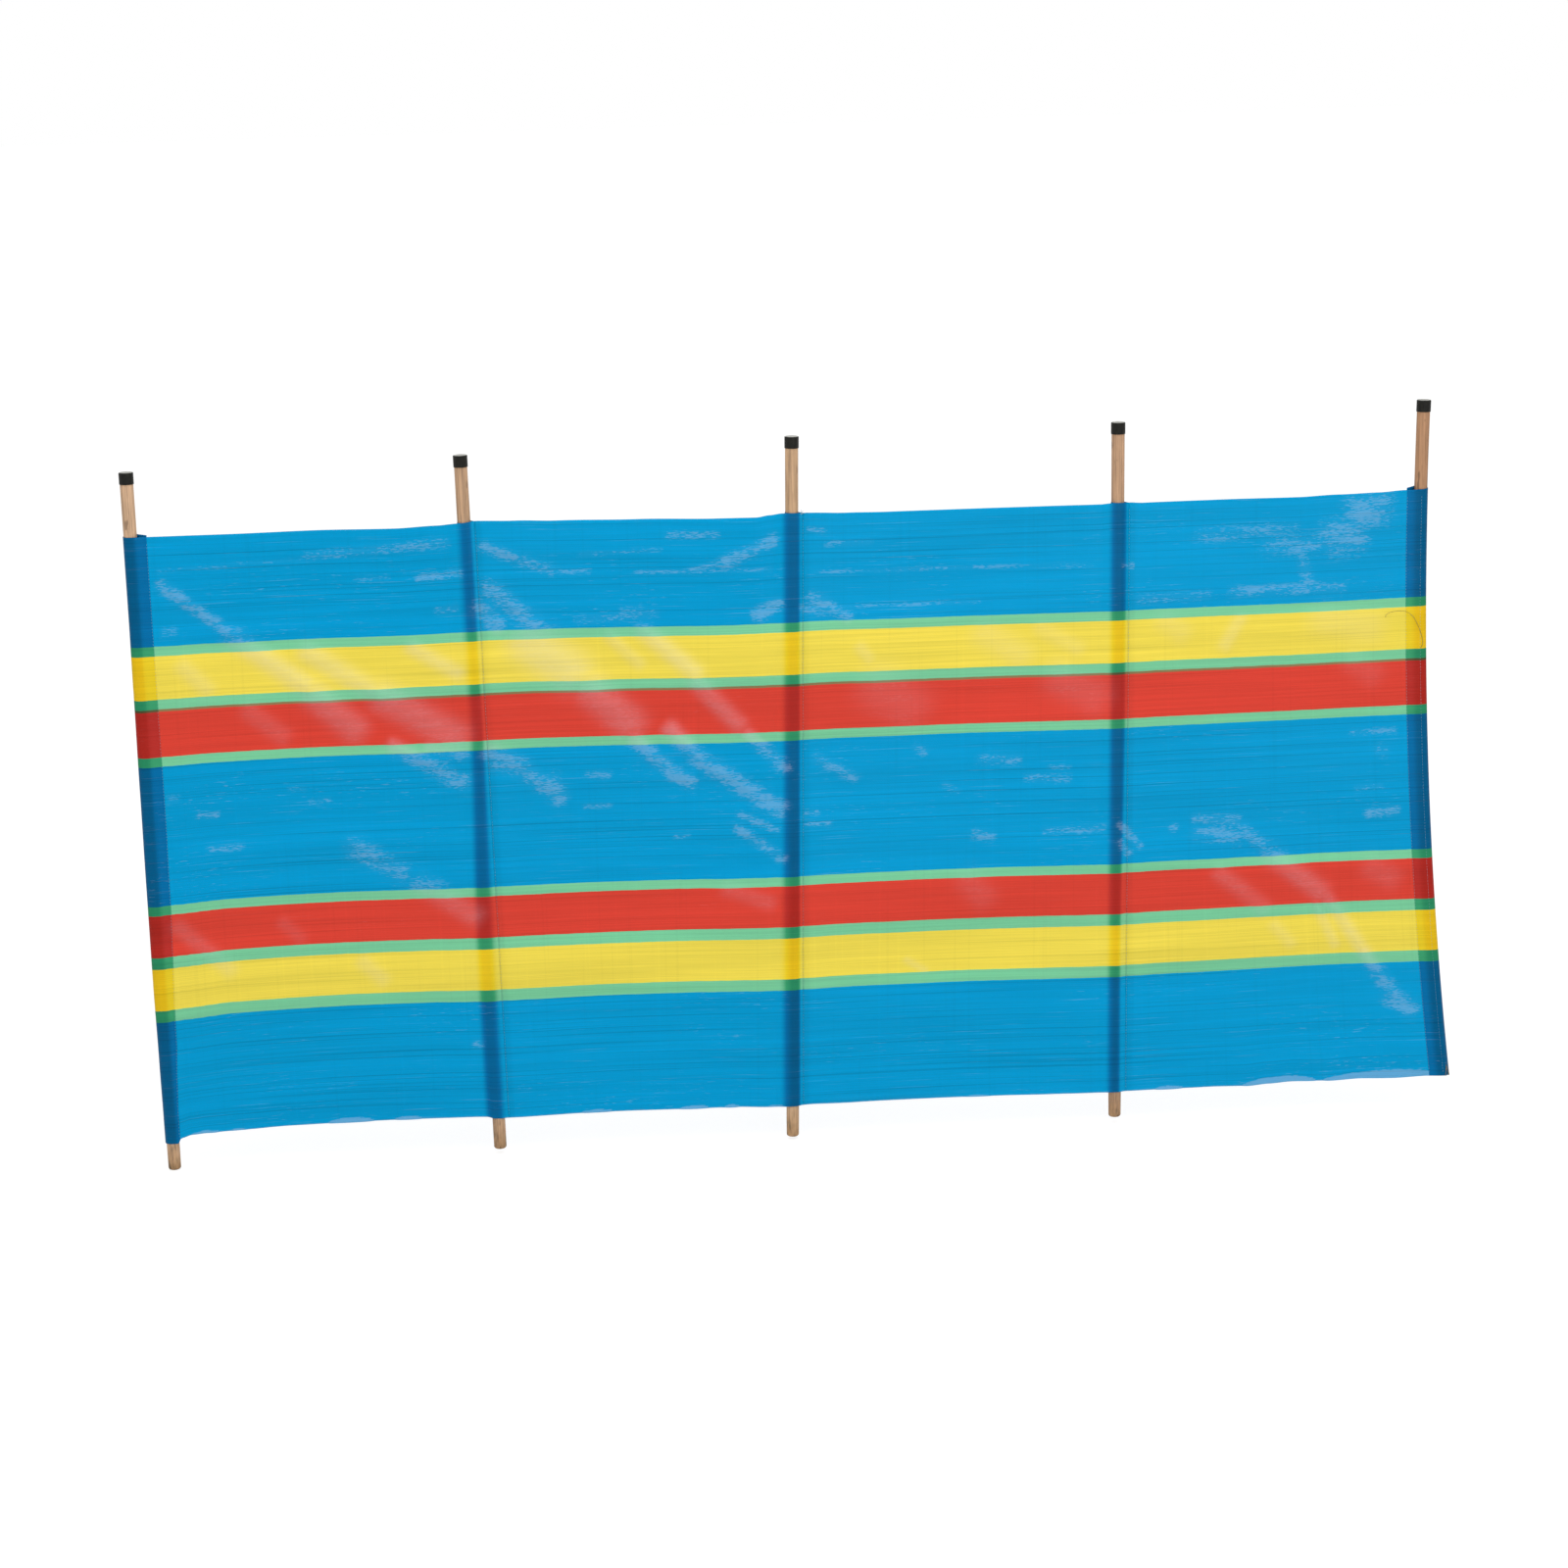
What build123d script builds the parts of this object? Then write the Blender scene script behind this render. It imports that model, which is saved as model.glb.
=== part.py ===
from build123d import *
import os
from math import asin, cos, degrees, radians, sin, sqrt

# Beach windbreak: one long striped sheet on five wooden poles, in millimetres.
#
# +X runs along the row to the right as seen from the smooth side of the sheet,
# +Y points to the side where the pole pockets are, and +Z is up.
# The origin is the middle of the flat foot of the third pole.
# The poles stand in one plane, Y = 0, and the sheet lies just in front of them.
# The last pole is a bent stick: it bows to the left between its foot and its top.

# ---- driving sizes

pole_diameter = 22
pole_lengths = [1202, 1202, 1218, 1215, 1189]  # the wood alone, from each foot to its top under the cap
pole_tip = 20  # the stretch at each end of a pole that is straight even where the pole is bent
foot_rounding = 3.5  # worn edge round the foot
top_chamfer = 0.8

cap_height = 19.5  # over all
cap_crown = 2.5  # plastic above the end of the wood
cap_wall = 0.8
cap_clearance = 0.1
cap_rounding = 1.8

sheet_height = 1041  # from the bottom edge to the top edge beside a pole
sheet_thickness = 1.0  # real cloth is thinner; this is the solid that stands for it
top_sag = 5.0  # how far the top edge drops halfway along a bay
bottom_rise = 8.0  # how far the bottom edge lifts halfway along a bay

hem_width = 40  # the folded pocket at each end, from its outer edge to its stitching
pocket_clearance = 0.3  # between a pole and the cloth round it
pocket_lap = 0.8  # how far the sheet in front of a pole is set into the pocket's wall
seam_lap = 1.5  # width of the stitched line that closes a pocket
seam_gape = 0.1  # how far apart the two layers are where they meet at that line
cloth_gap = 0.3  # between two pieces of cloth that meet edge to edge on one body

turn_radius = 20.0  # where a bay's cloth starts, measured from the pole that it turns round
turn_gap = 0.4  # between that cloth and the pocket inside it

seam_allowance = 10.0  # the doubled strip that is stitched behind the sheet beside each pocket

# Distance between neighbouring poles, halfway up the sheet, from left to right.
bay_widths = [551, 525, 555, 531]

# Lean of each pole in the plane of the sheet, halfway up the sheet, in degrees: positive puts its foot to the right.
pole_leans = [-0.4, 0.4, -1.35, -0.3, 3.5]

# Radius of the curve that each pole is bent to, with its middle to the left of its ends, or 0 for a straight pole.
bend_radii = [0, 0, 0, 0, 8100]

# How far each foot stands out below the sheet. The last pole ends just inside its hem.
foot_drops = [57, 48, 52, 45, -3]

# ---- worked out from them

pole_radius = pole_diameter / 2
pocket_inner = pole_radius + pocket_clearance
pocket_outer = pocket_inner + sheet_thickness
sheet_back = pocket_outer - pocket_lap  # from the poles' axes to the sheet's rear face, in front of them
sheet_front = sheet_back + sheet_thickness
pocket_reach = turn_radius - turn_gap
middle = 2  # index of the pole that stands at the origin
sheet_bottom = foot_drops[middle] * cos(radians(pole_leans[middle]))
sheet_middle = sheet_bottom + sheet_height / 2

pole_count = len(pole_leans)
middle_foot_to_middle = sheet_middle * sin(radians(pole_leans[middle])) / cos(radians(pole_leans[middle]))
pole_middles = [
    -middle_foot_to_middle - sum(bay_widths[i:middle]) + sum(bay_widths[middle:i])
    for i in range(pole_count)
]


def beside_pole(i, offset, z):
    """The point (x, z) on a line in the sheet's plane that runs along pole i, this far to its right."""
    lean = radians(pole_leans[i])
    if not bend_radii[i]:
        return (pole_middles[i] + ((sheet_middle - z) * sin(lean) + offset) / cos(lean), z)
    centre_x = pole_middles[i] + bend_radii[i] * cos(lean)
    centre_z = sheet_middle + bend_radii[i] * sin(lean)
    return (centre_x - sqrt((bend_radii[i] - offset) ** 2 - (z - centre_z) ** 2), z)


def climb(rise, bend_radius):
    """The step from one place on a pole's axis to the place this far further up."""
    if not bend_radius:
        return Pos(0, 0, rise)
    return Pos(bend_radius, 0, 0) * Rot(0, degrees(rise / bend_radius), 0) * Pos(-bend_radius, 0, 0)


def at_pole(i, rise):
    """Frame with Z along pole i, this far up it from the bottom edge of the sheet, or down where it is negative."""
    x, z = beside_pole(i, 0, sheet_bottom)
    lean = pole_leans[i]
    if bend_radii[i]:
        lean = degrees(asin(sin(radians(lean)) + (sheet_middle - sheet_bottom) / bend_radii[i]))
    return Pos(x, 0, z) * Rot(0, -lean, 0) * climb(rise, bend_radii[i])


def turn_edge(depth):
    """Offset from a pole's axis at which a flat face this far in front of it reaches the turning radius."""
    return sqrt(turn_radius**2 - depth**2)


# ---- pieces, each made in its own pole's frame and then set in place


def along_pole(section, length, bend_radius):
    """The solid that a flat section at Z = 0 makes on its way up a pole, straight or bent."""
    if not bend_radius:
        return extrude(section, amount=length, dir=(0, 0, 1))
    return revolve(section, Axis((bend_radius, 0, 0), (0, 1, 0)), degrees(length / bend_radius))


def make_pole(length, bend_radius):
    """A round dowel with a worn foot. Z = 0 is the upper end of its lower tip."""
    span = length - 2 * pole_tip
    lower_tip = Cylinder(pole_radius, pole_tip, align=(Align.CENTER, Align.CENTER, Align.MAX))
    upper_tip = Cylinder(pole_radius, pole_tip, align=(Align.CENTER, Align.CENTER, Align.MIN))
    dowel = along_pole(Circle(pole_radius), span, bend_radius)
    dowel += [lower_tip, climb(span, bend_radius) * upper_tip]
    ends = dowel.edges().filter_by(GeomType.CIRCLE).sort_by(Axis.Z)
    dowel = fillet(ends[0], foot_rounding)
    ends = dowel.edges().filter_by(GeomType.CIRCLE).sort_by(Axis.Z)
    return chamfer(ends[-1], top_chamfer)


def make_cap():
    """A plastic cup pushed down over the top of a pole. Z = 0 is the lower end of the pole's upper tip."""
    bore = pole_radius + cap_clearance
    crown = Pos(0, 0, pole_tip + cap_crown)
    down = (Align.CENTER, Align.CENTER, Align.MAX)
    cup = Cylinder(bore + cap_wall, cap_height, align=down)
    cup = fillet(cup.edges().filter_by(GeomType.CIRCLE).sort_by(Axis.Z)[-1], cap_rounding)
    hollow = Pos(0, 0, -cap_crown) * Cylinder(bore, cap_height, align=down)
    return crown * (cup - hollow)


def pocket_section(seam, front):
    """The section of a tube of cloth round a pole, closed by a seam at one side.

    seam is the X of the stitching. front is the X that the sheet reaches on the other side of the pole,
    where it lies over the pole on its way to the next bay, or 0 where the sheet ends at this pole.
    """
    side = 1 if seam > 0 else -1
    inner_end = seam - side * seam_lap
    with BuildSketch() as section:
        with BuildLine():
            CenterArc((0, 0), pocket_outer, 0, 360)
            Line((seam, -sheet_front), (seam, sheet_thickness - sheet_back))
        make_hull()
        with BuildSketch(mode=Mode.SUBTRACT):
            with BuildLine():
                CenterArc((0, 0), pocket_inner, 0, 360)
                Line((inner_end, -pocket_inner), (inner_end, seam_gape - pocket_inner))
            make_hull()
        if front:
            with Locations(((seam + front) / 2, -(sheet_front + sheet_back) / 2)):
                Rectangle(abs(seam - front), sheet_thickness)
    return section.sketch


def make_inner_pocket():
    """The pocket of a pole between two bays, kept inside the radius that the bays turn round."""
    reach = turn_edge(sheet_back)
    pocket = along_pole(pocket_section(reach, -reach), sheet_height, 0)
    return pocket & Cylinder(pocket_reach, sheet_height, align=(Align.CENTER, Align.CENTER, Align.MIN))


def make_seam():
    """The stitched double strip behind the sheet, to the right of an inner pocket."""
    strip_back = sheet_back - sheet_thickness
    strip = Box(seam_allowance, sheet_thickness, sheet_height, align=(Align.MIN, Align.MAX, Align.MIN))
    return Pos(turn_edge(strip_back), -strip_back, 0) * strip


def make_bay(i, left_offset, right_offset):
    """The flat cloth between pole i and pole i + 1, from one offset beside them to the other."""
    low, high = sheet_bottom, sheet_bottom + sheet_height
    bottom_left = beside_pole(i, left_offset, low)
    top_left = beside_pole(i, left_offset, high)
    bottom_right = beside_pole(i + 1, right_offset, low)
    middle_right = beside_pole(i + 1, right_offset, sheet_middle)
    top_right = beside_pole(i + 1, right_offset, high)
    top_middle = ((top_left[0] + top_right[0]) / 2, high - top_sag)
    bottom_middle = ((bottom_left[0] + bottom_right[0]) / 2, low + bottom_rise)
    with BuildPart() as bay:
        with BuildSketch(Plane.XZ.offset(sheet_back)):
            with BuildLine():
                Line(bottom_left, top_left)
                ThreePointArc(top_left, top_middle, top_right)
                if bend_radii[i + 1]:
                    ThreePointArc(top_right, middle_right, bottom_right)
                else:
                    Line(top_right, bottom_right)
                ThreePointArc(bottom_right, bottom_middle, bottom_left)
            make_face()
        extrude(amount=sheet_thickness)
    return bay.part


# ---- the assembly: node name to solid, all in the part's frame

nodes = {}

for i in range(pole_count):
    lower_tip_end = pole_tip - foot_drops[i]
    upper_tip_start = pole_lengths[i] - foot_drops[i] - pole_tip
    nodes[f"pole_{i + 1}"] = at_pole(i, lower_tip_end) * make_pole(pole_lengths[i], bend_radii[i])
    nodes[f"cap_{i + 1}"] = at_pole(i, upper_tip_start) * make_cap()

for i in range(1, pole_count - 1):
    nodes[f"pole_pocket_{i + 1}"] = at_pole(i, 0) * make_inner_pocket()
    nodes[f"pocket_seam_{i + 1}"] = at_pole(i, 0) * make_seam()

hem_seam = hem_width - pocket_outer
last = pole_count - 1
nodes["end_hem_left"] = at_pole(0, 0) * along_pole(pocket_section(hem_seam, 0), sheet_height, bend_radii[0])
nodes["end_hem_right"] = at_pole(last, 0) * along_pole(pocket_section(-hem_seam, 0), sheet_height, bend_radii[last])

for i in range(pole_count - 1):
    starts_at_hem = i == 0
    ends_at_hem = i == pole_count - 2
    left_offset = hem_seam + cloth_gap if starts_at_hem else turn_edge(sheet_back)
    right_offset = -(hem_seam + cloth_gap) if ends_at_hem else -turn_edge(sheet_back)
    nodes[f"bay_sheet_{i + 1}"] = make_bay(i, left_offset, right_offset)

os.makedirs("parts", exist_ok=True)
for name, solid in nodes.items():
    export_step(solid, f"parts/{name}.step")

for i in range(pole_count):
    foot = (at_pole(i, pole_tip - foot_drops[i]) * Pos(0, 0, -pole_tip)).position
    print(f"pole_{i + 1} foot at {foot.X:.3f}, {foot.Y:.3f}, {foot.Z:.3f}, lean {pole_leans[i]}")
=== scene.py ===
# %% [markdown]
# # A beach windbreak
#
# A windbreak is one long striped sheet of woven plastic tape, held upright by five wooden poles
# that stand in pockets sewn into it. The poles and caps are hard and simple; the sheet is what
# the eye follows, so most of this lesson is about cloth: how it passes round a pole, where it is
# doubled, how it creases between two poles, and how light comes through it.
#
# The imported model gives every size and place. It is loaded first and never changed: each new piece
# is made where it says, and then hides the plain solid that it stands for.

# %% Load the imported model
from math import acos, atan2, cos, pi, radians, sin

import bpy
import numpy as np
from mathutils import Matrix, Vector, noise


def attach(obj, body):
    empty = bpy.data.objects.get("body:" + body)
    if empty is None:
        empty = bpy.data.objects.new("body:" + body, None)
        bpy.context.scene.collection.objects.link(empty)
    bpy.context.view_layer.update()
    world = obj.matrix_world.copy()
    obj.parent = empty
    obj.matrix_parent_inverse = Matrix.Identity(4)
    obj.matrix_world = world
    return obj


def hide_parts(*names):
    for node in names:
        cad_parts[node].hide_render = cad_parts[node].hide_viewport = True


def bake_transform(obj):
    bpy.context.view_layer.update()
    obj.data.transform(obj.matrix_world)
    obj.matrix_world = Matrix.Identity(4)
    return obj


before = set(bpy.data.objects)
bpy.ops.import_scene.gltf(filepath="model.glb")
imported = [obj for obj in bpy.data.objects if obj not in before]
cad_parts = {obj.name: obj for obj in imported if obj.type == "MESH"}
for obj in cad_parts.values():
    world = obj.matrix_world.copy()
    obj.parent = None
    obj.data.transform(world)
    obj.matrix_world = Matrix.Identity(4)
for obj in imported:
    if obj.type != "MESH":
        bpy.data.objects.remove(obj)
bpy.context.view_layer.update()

bpy.ops.object.select_all(action="DESELECT")

# %% [markdown]
# ## The camera
#
# The camera stands a little to the left of the middle, five metres in front of the windbreak,
# and looks slightly down on it. It is rolled by one and a half degrees, so that the right end
# of the row stands higher in the picture. A long lens keeps the poles nearly parallel.

# %% The camera
LENS_MM = 70.99
SENSOR_MM = 36
TILT = radians(14.01)
TURN = radians(3.66)
ROLL = radians(1.53)
LOOK_AT = Vector((0.001, 0.0, 0.6307))
DISTANCE = 5.233

look = Vector((sin(TURN) * cos(TILT), cos(TURN) * cos(TILT), -sin(TILT)))
level_right = Vector((cos(TURN), -sin(TURN), 0))
level_up = level_right.cross(look)
right = cos(ROLL) * level_right - sin(ROLL) * level_up
up = cos(ROLL) * level_up + sin(ROLL) * level_right
stand = LOOK_AT - DISTANCE * look

bpy.ops.object.camera_add()
camera = bpy.context.object
camera.name = "camera"
camera.matrix_world = Matrix.Translation(stand) @ Matrix((right, up, -look)).transposed().to_4x4()
camera.data.lens = LENS_MM
camera.data.sensor_width = SENSOR_MM
bpy.context.scene.camera = camera
print("camera at", [round(c, 3) for c in stand])

# %% [markdown]
# ## Where the poles stand
#
# Everything on the sheet is placed beside a pole, so the line of each pole comes first. A straight
# pole's line is found from the points of its two ends, and the last one, which is bent, also from
# the rings between them. `beside` then gives the place a little to the left or right of a pole.

# %% Lines of the poles
POLES = 5


def points_of(thing):
    """The places of a mesh's points, one row of x, y, z each."""
    flat = np.empty(len(thing.data.vertices) * 3)
    thing.data.vertices.foreach_get("co", flat)
    return flat.reshape(-1, 3)


def line_of(points):
    """x as a polynomial in z for the middle of a pole: a line, or a gentle curve if it is bent."""
    points = np.unique(points.round(5), axis=0)
    low, high = points[:, 2].min(), points[:, 2].max()
    between = np.abs(points[:, 2] - (low + high) / 2) < (high - low) / 4
    return np.polyfit(points[:, 2], points[:, 0], 2 if between.any() else 1)


pole_lines = [line_of(points_of(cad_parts[f"pole_{k + 1}"])) for k in range(POLES)]


def pole_x(k, z):
    """x of the middle of pole k at height z. The poles are counted from 0."""
    return np.polyval(pole_lines[k], z)


def slope_of(k, z):
    """How far pole k moves sideways for each step up, at height z."""
    return np.polyval(np.polyder(pole_lines[k]), z)


def beside(k, offset, z):
    """x of a place beside pole k at height z: offset is measured square to the pole."""
    return pole_x(k, z) + offset * np.sqrt(1 + slope_of(k, z) ** 2)


for k in range(POLES):
    print(f"pole {k + 1}: x {pole_x(k, 0.05):.4f} low and {pole_x(k, 1.2):.4f} high")

# %% [markdown]
# ## The edges of the sheet
#
# The sheet was cut straight, but it doesn't hang straight. It slides a little on each pole, so its
# top and bottom edges rise and fall along the row. The hem at the left end hangs lowest. The edges
# are written down as heights at places along the row, and `follow` runs a soft line through them.
# Everything woven into the sheet keeps its share of the height between the two edges.

# %% Edges of the sheet
SHEET_HEIGHT = 1.041
SHEET_BOTTOM = 0.052

# x along the row and the height there, in metres
TOP_EDGE = [
    (-1.090, 1.0940), (-1.040, 1.0936), (-0.890, 1.0927), (-0.760, 1.0936), (-0.630, 1.0920),
    (-0.560, 1.0948), (-0.520, 1.0975), (-0.495, 1.0998), (-0.431, 1.0977), (-0.365, 1.0950),
    (-0.233, 1.0923), (-0.100, 1.0888), (-0.034, 1.0886), (-0.012, 1.0917), (0.010, 1.0942),
    (0.050, 1.0933), (0.117, 1.0906), (0.184, 1.0894), (0.318, 1.0893), (0.452, 1.0894),
    (0.540, 1.0895), (0.562, 1.0912), (0.590, 1.0906), (0.613, 1.0894), (0.740, 1.0890),
    (0.876, 1.0882), (0.944, 1.0905), (1.012, 1.0924), (1.055, 1.0947), (1.110, 1.0965),
]
BOTTOM_EDGE = [
    (-1.090, 0.0437), (-1.0560, 0.0437), (-1.0495, 0.0532), (-1.030, 0.0580), (-1.005, 0.0604),
    (-0.943, 0.0620), (-0.860, 0.0645), (-0.760, 0.0660), (-0.690, 0.0660), (-0.560, 0.0656),
    (-0.526, 0.0648), (-0.514, 0.0615), (-0.490, 0.0606), (-0.431, 0.0608), (-0.337, 0.0611),
    (-0.200, 0.0598), (-0.100, 0.0597), (-0.031, 0.0573), (0.000, 0.0570), (0.040, 0.0587),
    (0.117, 0.0578), (0.250, 0.0573), (0.346, 0.0565), (0.450, 0.0552), (0.553, 0.0544),
    (0.622, 0.0546), (0.726, 0.0533), (0.796, 0.0516), (0.838, 0.0550), (0.876, 0.0570),
    (0.935, 0.0548), (1.000, 0.0578), (1.040, 0.0572), (1.110, 0.0562), (1.170, 0.0555),
]


def ease(t):
    """From 0 to 1 as t goes from 0 to 1, slow at both ends."""
    t = np.clip(t, 0, 1)
    return t * t * (3 - 2 * t)


def follow(points, x):
    """The height at x of a soft line through the points (x, height)."""
    xs, heights = np.transpose(points)
    x = np.clip(x, xs[0], xs[-1])
    n = np.clip(np.searchsorted(xs, x, side="right") - 1, 0, len(xs) - 2)
    return heights[n] + (heights[n + 1] - heights[n]) * ease((x - xs[n]) / (xs[n + 1] - xs[n]))


print("edges at the middle pole:", [follow(edge, 0.0).round(4) for edge in (BOTTOM_EDGE, TOP_EDGE)])

# %% [markdown]
# Where an edge takes a short step, only the cloth close to it steps too. Further in, the stripes
# run evenly past it, because the tapes are stiff along their length.

# %% Heights on the sheet
STEP_FADES = 0.14
EVEN_OVER = np.linspace(-0.08, 0.08, 9)


def evened(points, x):
    """The same line with its short steps evened out."""
    return sum(follow(points, x + step) for step in EVEN_OVER) / len(EVEN_OVER)


def climb(x, share):
    """The height on the sheet at x, at this share of the way from its bottom to its top edge."""
    low, high = evened(BOTTOM_EDGE, x), evened(TOP_EDGE, x)
    at_low = ease(1 - share / STEP_FADES) * (follow(BOTTOM_EDGE, x) - low)
    at_high = ease((share - 1) / STEP_FADES + 1) * (follow(TOP_EDGE, x) - high)
    return low + share * (high - low) + at_low + at_high


print("halfway up the middle pole:", climb(0.0, 0.5).round(4))

# %% [markdown]
# ## The lie of the cloth
#
# Between two poles the sheet hangs a little slack. It bellies back by about a finger's width, and
# because the poles don't lean alike it is pulled askew: long shallow folds run across it from the
# upper left to the lower right. They are what catches the light. Cloth this light could be dropped
# in a simulation, but then the folds would lie where they like. Here each one is placed one by one,
# as a soft ridge between two points, and fine uneven ripples are added over them.

# %% Where the folds are
# x and z of a fold's two ends and its half width in millimetres, how far it stands forward in
# tenths of them, and how strong the painted sheen along it is, in hundredths
FOLD_UNITS = (1000, 1000, 1000, 1000, 1000, 10000, 100)
FOLDS = np.array([
    # the first bay
    (-1020, 1017, -905, 924, 8, 30, 75), (-915, 929, -780, 825, 15, 46, 60),
    (-790, 829, -700, 745, 20, 50, 60), (-660, 729, -530, 655, 11, 40, 90),
    (-795, 897, -660, 807, 15, 42, 50), (-680, 819, -530, 729, 22, 46, 62),
    (-600, 723, -528, 705, 9, 15, 80), (-620, 897, -530, 842, 11, 30, 50),
    (-995, 882, -945, 827, 12, 24, 35), (-895, 802, -825, 742, 14, 24, 30),
    (-1020, 933, -995, 935, 6, 0, 50), (-780, 1050, -540, 1067, 6, 14, 50),
    (-1020, 1035, -540, 1059, 2, 8, 40), (-600, 1007, -520, 1014, 5, 0, 50),
    (-700, 1009, -640, 1010, 3, 0, 40), (-570, 952, -530, 957, 5, 0, 50),
    (-740, 560, -640, 499, 14, 30, 62), (-630, 494, -520, 419, 16, 32, 45),
    (-690, 522, -640, 507, 14, 0, 40), (-1035, 435, -940, 342, 12, 24, 35),
    (-860, 432, -820, 392, 10, 18, 22), (-730, 357, -685, 312, 11, 20, 34),
    (-1030, 652, -1010, 652, 5, 0, 55), (-985, 619, -945, 620, 4, 0, 50),
    (-970, 562, -910, 563, 5, 0, 55), (-830, 659, -800, 657, 3, 0, 40),
    (-800, 632, -760, 637, 4, 0, 45), (-545, 197, -525, 197, 6, 8, 60),
    # the second bay
    (-505, 962, -460, 915, 11, 34, 95), (-490, 995, -400, 915, 11, 36, 85),
    (-440, 912, -330, 822, 30, 60, 62), (-335, 822, -240, 732, 24, 60, 62),
    (-255, 727, -215, 682, 11, 36, 90), (-225, 687, -150, 635, 10, 30, 85),
    (-195, 742, -130, 669, 12, 42, 90), (-135, 675, 0, 585, 12, 40, 85),
    (-235, 912, -135, 822, 13, 40, 55), (-150, 822, -65, 729, 13, 38, 55),
    (-65, 727, 10, 657, 9, 28, 85), (-290, 902, -230, 842, 9, 24, 32),
    (-490, 1059, -430, 1032, 7, 24, 80), (-440, 1035, -370, 1010, 7, 20, 60),
    (-370, 1010, -310, 1007, 3, 0, 50), (-155, 1002, -90, 1015, 4, 10, 55),
    (-95, 1012, 0, 1053, 8, 26, 90), (-45, 919, 5, 945, 9, 18, 95),
    (-340, 925, -200, 933, 6, 0, 50), (-265, 937, -225, 937, 7, 8, 60),
    (-330, 1037, -190, 1039, 3, 0, 45), (-185, 1063, -95, 1062, 5, 6, 55),
    (-240, 1002, -10, 999, 2, 0, 45), (-500, 713, -430, 672, 13, 34, 95),
    (-440, 675, -370, 619, 11, 26, 80), (-400, 662, -375, 637, 12, 0, 50),
    (-335, 662, -290, 657, 5, 8, 50), (-340, 607, -290, 607, 3, 0, 45),
    (-85, 562, 0, 499, 7, 16, 65), (-80, 582, -10, 552, 5, 10, 65),
    (-110, 455, -20, 422, 12, 20, 30), (-190, 547, -160, 547, 4, 0, 40),
    # the third bay
    (50, 955, 120, 910, 8, 26, 85), (35, 932, 90, 924, 7, 12, 60), (100, 932, 340, 932, 3, 0, 40),
    (130, 867, 155, 835, 9, 18, 30), (140, 807, 240, 742, 34, 30, 30),
    (330, 887, 420, 827, 20, 24, 25), (430, 887, 510, 842, 12, 20, 22),
    (450, 807, 550, 752, 26, 26, 32), (60, 992, 530, 987, 2, 6, 45),
    (80, 1040, 160, 1039, 3, 0, 50), (50, 1067, 80, 1062, 4, 0, 50), (50, 677, 125, 635, 7, 18, 50),
    (220, 687, 245, 672, 5, 10, 55), (330, 659, 405, 657, 7, 8, 50), (410, 625, 490, 619, 6, 0, 50),
    (450, 642, 490, 639, 3, 0, 50), (270, 619, 300, 602, 4, 8, 45), (320, 529, 360, 522, 7, 10, 55),
    (440, 529, 550, 532, 5, 0, 55), (35, 582, 60, 579, 4, 0, 60), (35, 562, 80, 559, 4, 0, 55),
    (300, 462, 350, 402, 20, 16, 22), (200, 312, 240, 287, 5, 12, 35),
    # the fourth bay
    (920, 1017, 990, 1022, 22, 40, 95), (960, 1057, 1030, 1072, 22, 44, 95),
    (820, 1007, 920, 1007, 14, 14, 45), (880, 997, 900, 927, 9, 14, 55),
    (760, 932, 960, 932, 7, 0, 55), (600, 925, 730, 927, 6, 0, 45),
    (700, 1027, 880, 1037, 10, 0, 36), (575, 987, 598, 983, 3, 10, 100),
    (785, 892, 750, 832, 10, 20, 34), (900, 887, 1020, 857, 24, 20, 24),
    (640, 897, 690, 857, 16, 18, 22), (960, 812, 1020, 772, 18, 16, 22),
    (570, 539, 612, 492, 5, 20, 90), (570, 509, 592, 482, 6, 16, 85),
    (660, 522, 675, 527, 6, 0, 60), (700, 539, 785, 529, 7, 22, 85),
    (700, 512, 790, 502, 13, 20, 52), (785, 522, 830, 475, 9, 32, 70),
    (820, 482, 935, 392, 15, 44, 55), (915, 382, 955, 297, 8, 30, 36),
    (930, 399, 1000, 292, 10, 38, 50), (995, 297, 1060, 202, 10, 38, 75),
    (1040, 212, 1095, 175, 12, 26, 95), (740, 447, 835, 367, 13, 28, 36),
    (840, 347, 880, 302, 9, 20, 28), (1000, 447, 1060, 412, 18, 14, 28),
    (1000, 537, 1058, 540, 6, 6, 75), (970, 679, 1050, 682, 4, 0, 50),
    (1015, 652, 1035, 642, 8, 0, 50), (980, 582, 1030, 585, 4, 0, 45),
]) / FOLD_UNITS
print("folds:", len(FOLDS), "highest:", FOLDS[:, 5].max(), "m")

# %% [markdown]
# Each fold fades out at both ends, and a pale sheen is painted along its ridge. The bottom edge
# curls forward here and there, in flat arches. Last come the ripples, which are noise drawn out
# along the slant of the folds.

# %% Folds, curls and ripples
# x of a curl's two ends in metres, and its height in millimetres
CURLS = [
    (-1.030, -0.985, 5), (-0.970, -0.935, 3), (-0.801, -0.721, 8), (-0.685, -0.640, 6),
    (-0.365, -0.310, 5), (-0.196, -0.145, 6), (-0.119, -0.093, 5), (-0.041, -0.015, 4),
    (0.300, 0.350, 3), (0.636, 0.683, 7), (0.791, 0.922, 11), (0.935, 1.060, 10),
    (0.975, 1.150, 15),
]
SHEEN_WIDER = 1.25
SHEEN_EDGE = 2.6
RIPPLE = 0.0011
# noise cells in each metre: long waves along and across the slant, and finer ones along x and z
LONG_WAVES = (4.0, 11.0)
FINE_WAVES = (7, 21)


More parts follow.
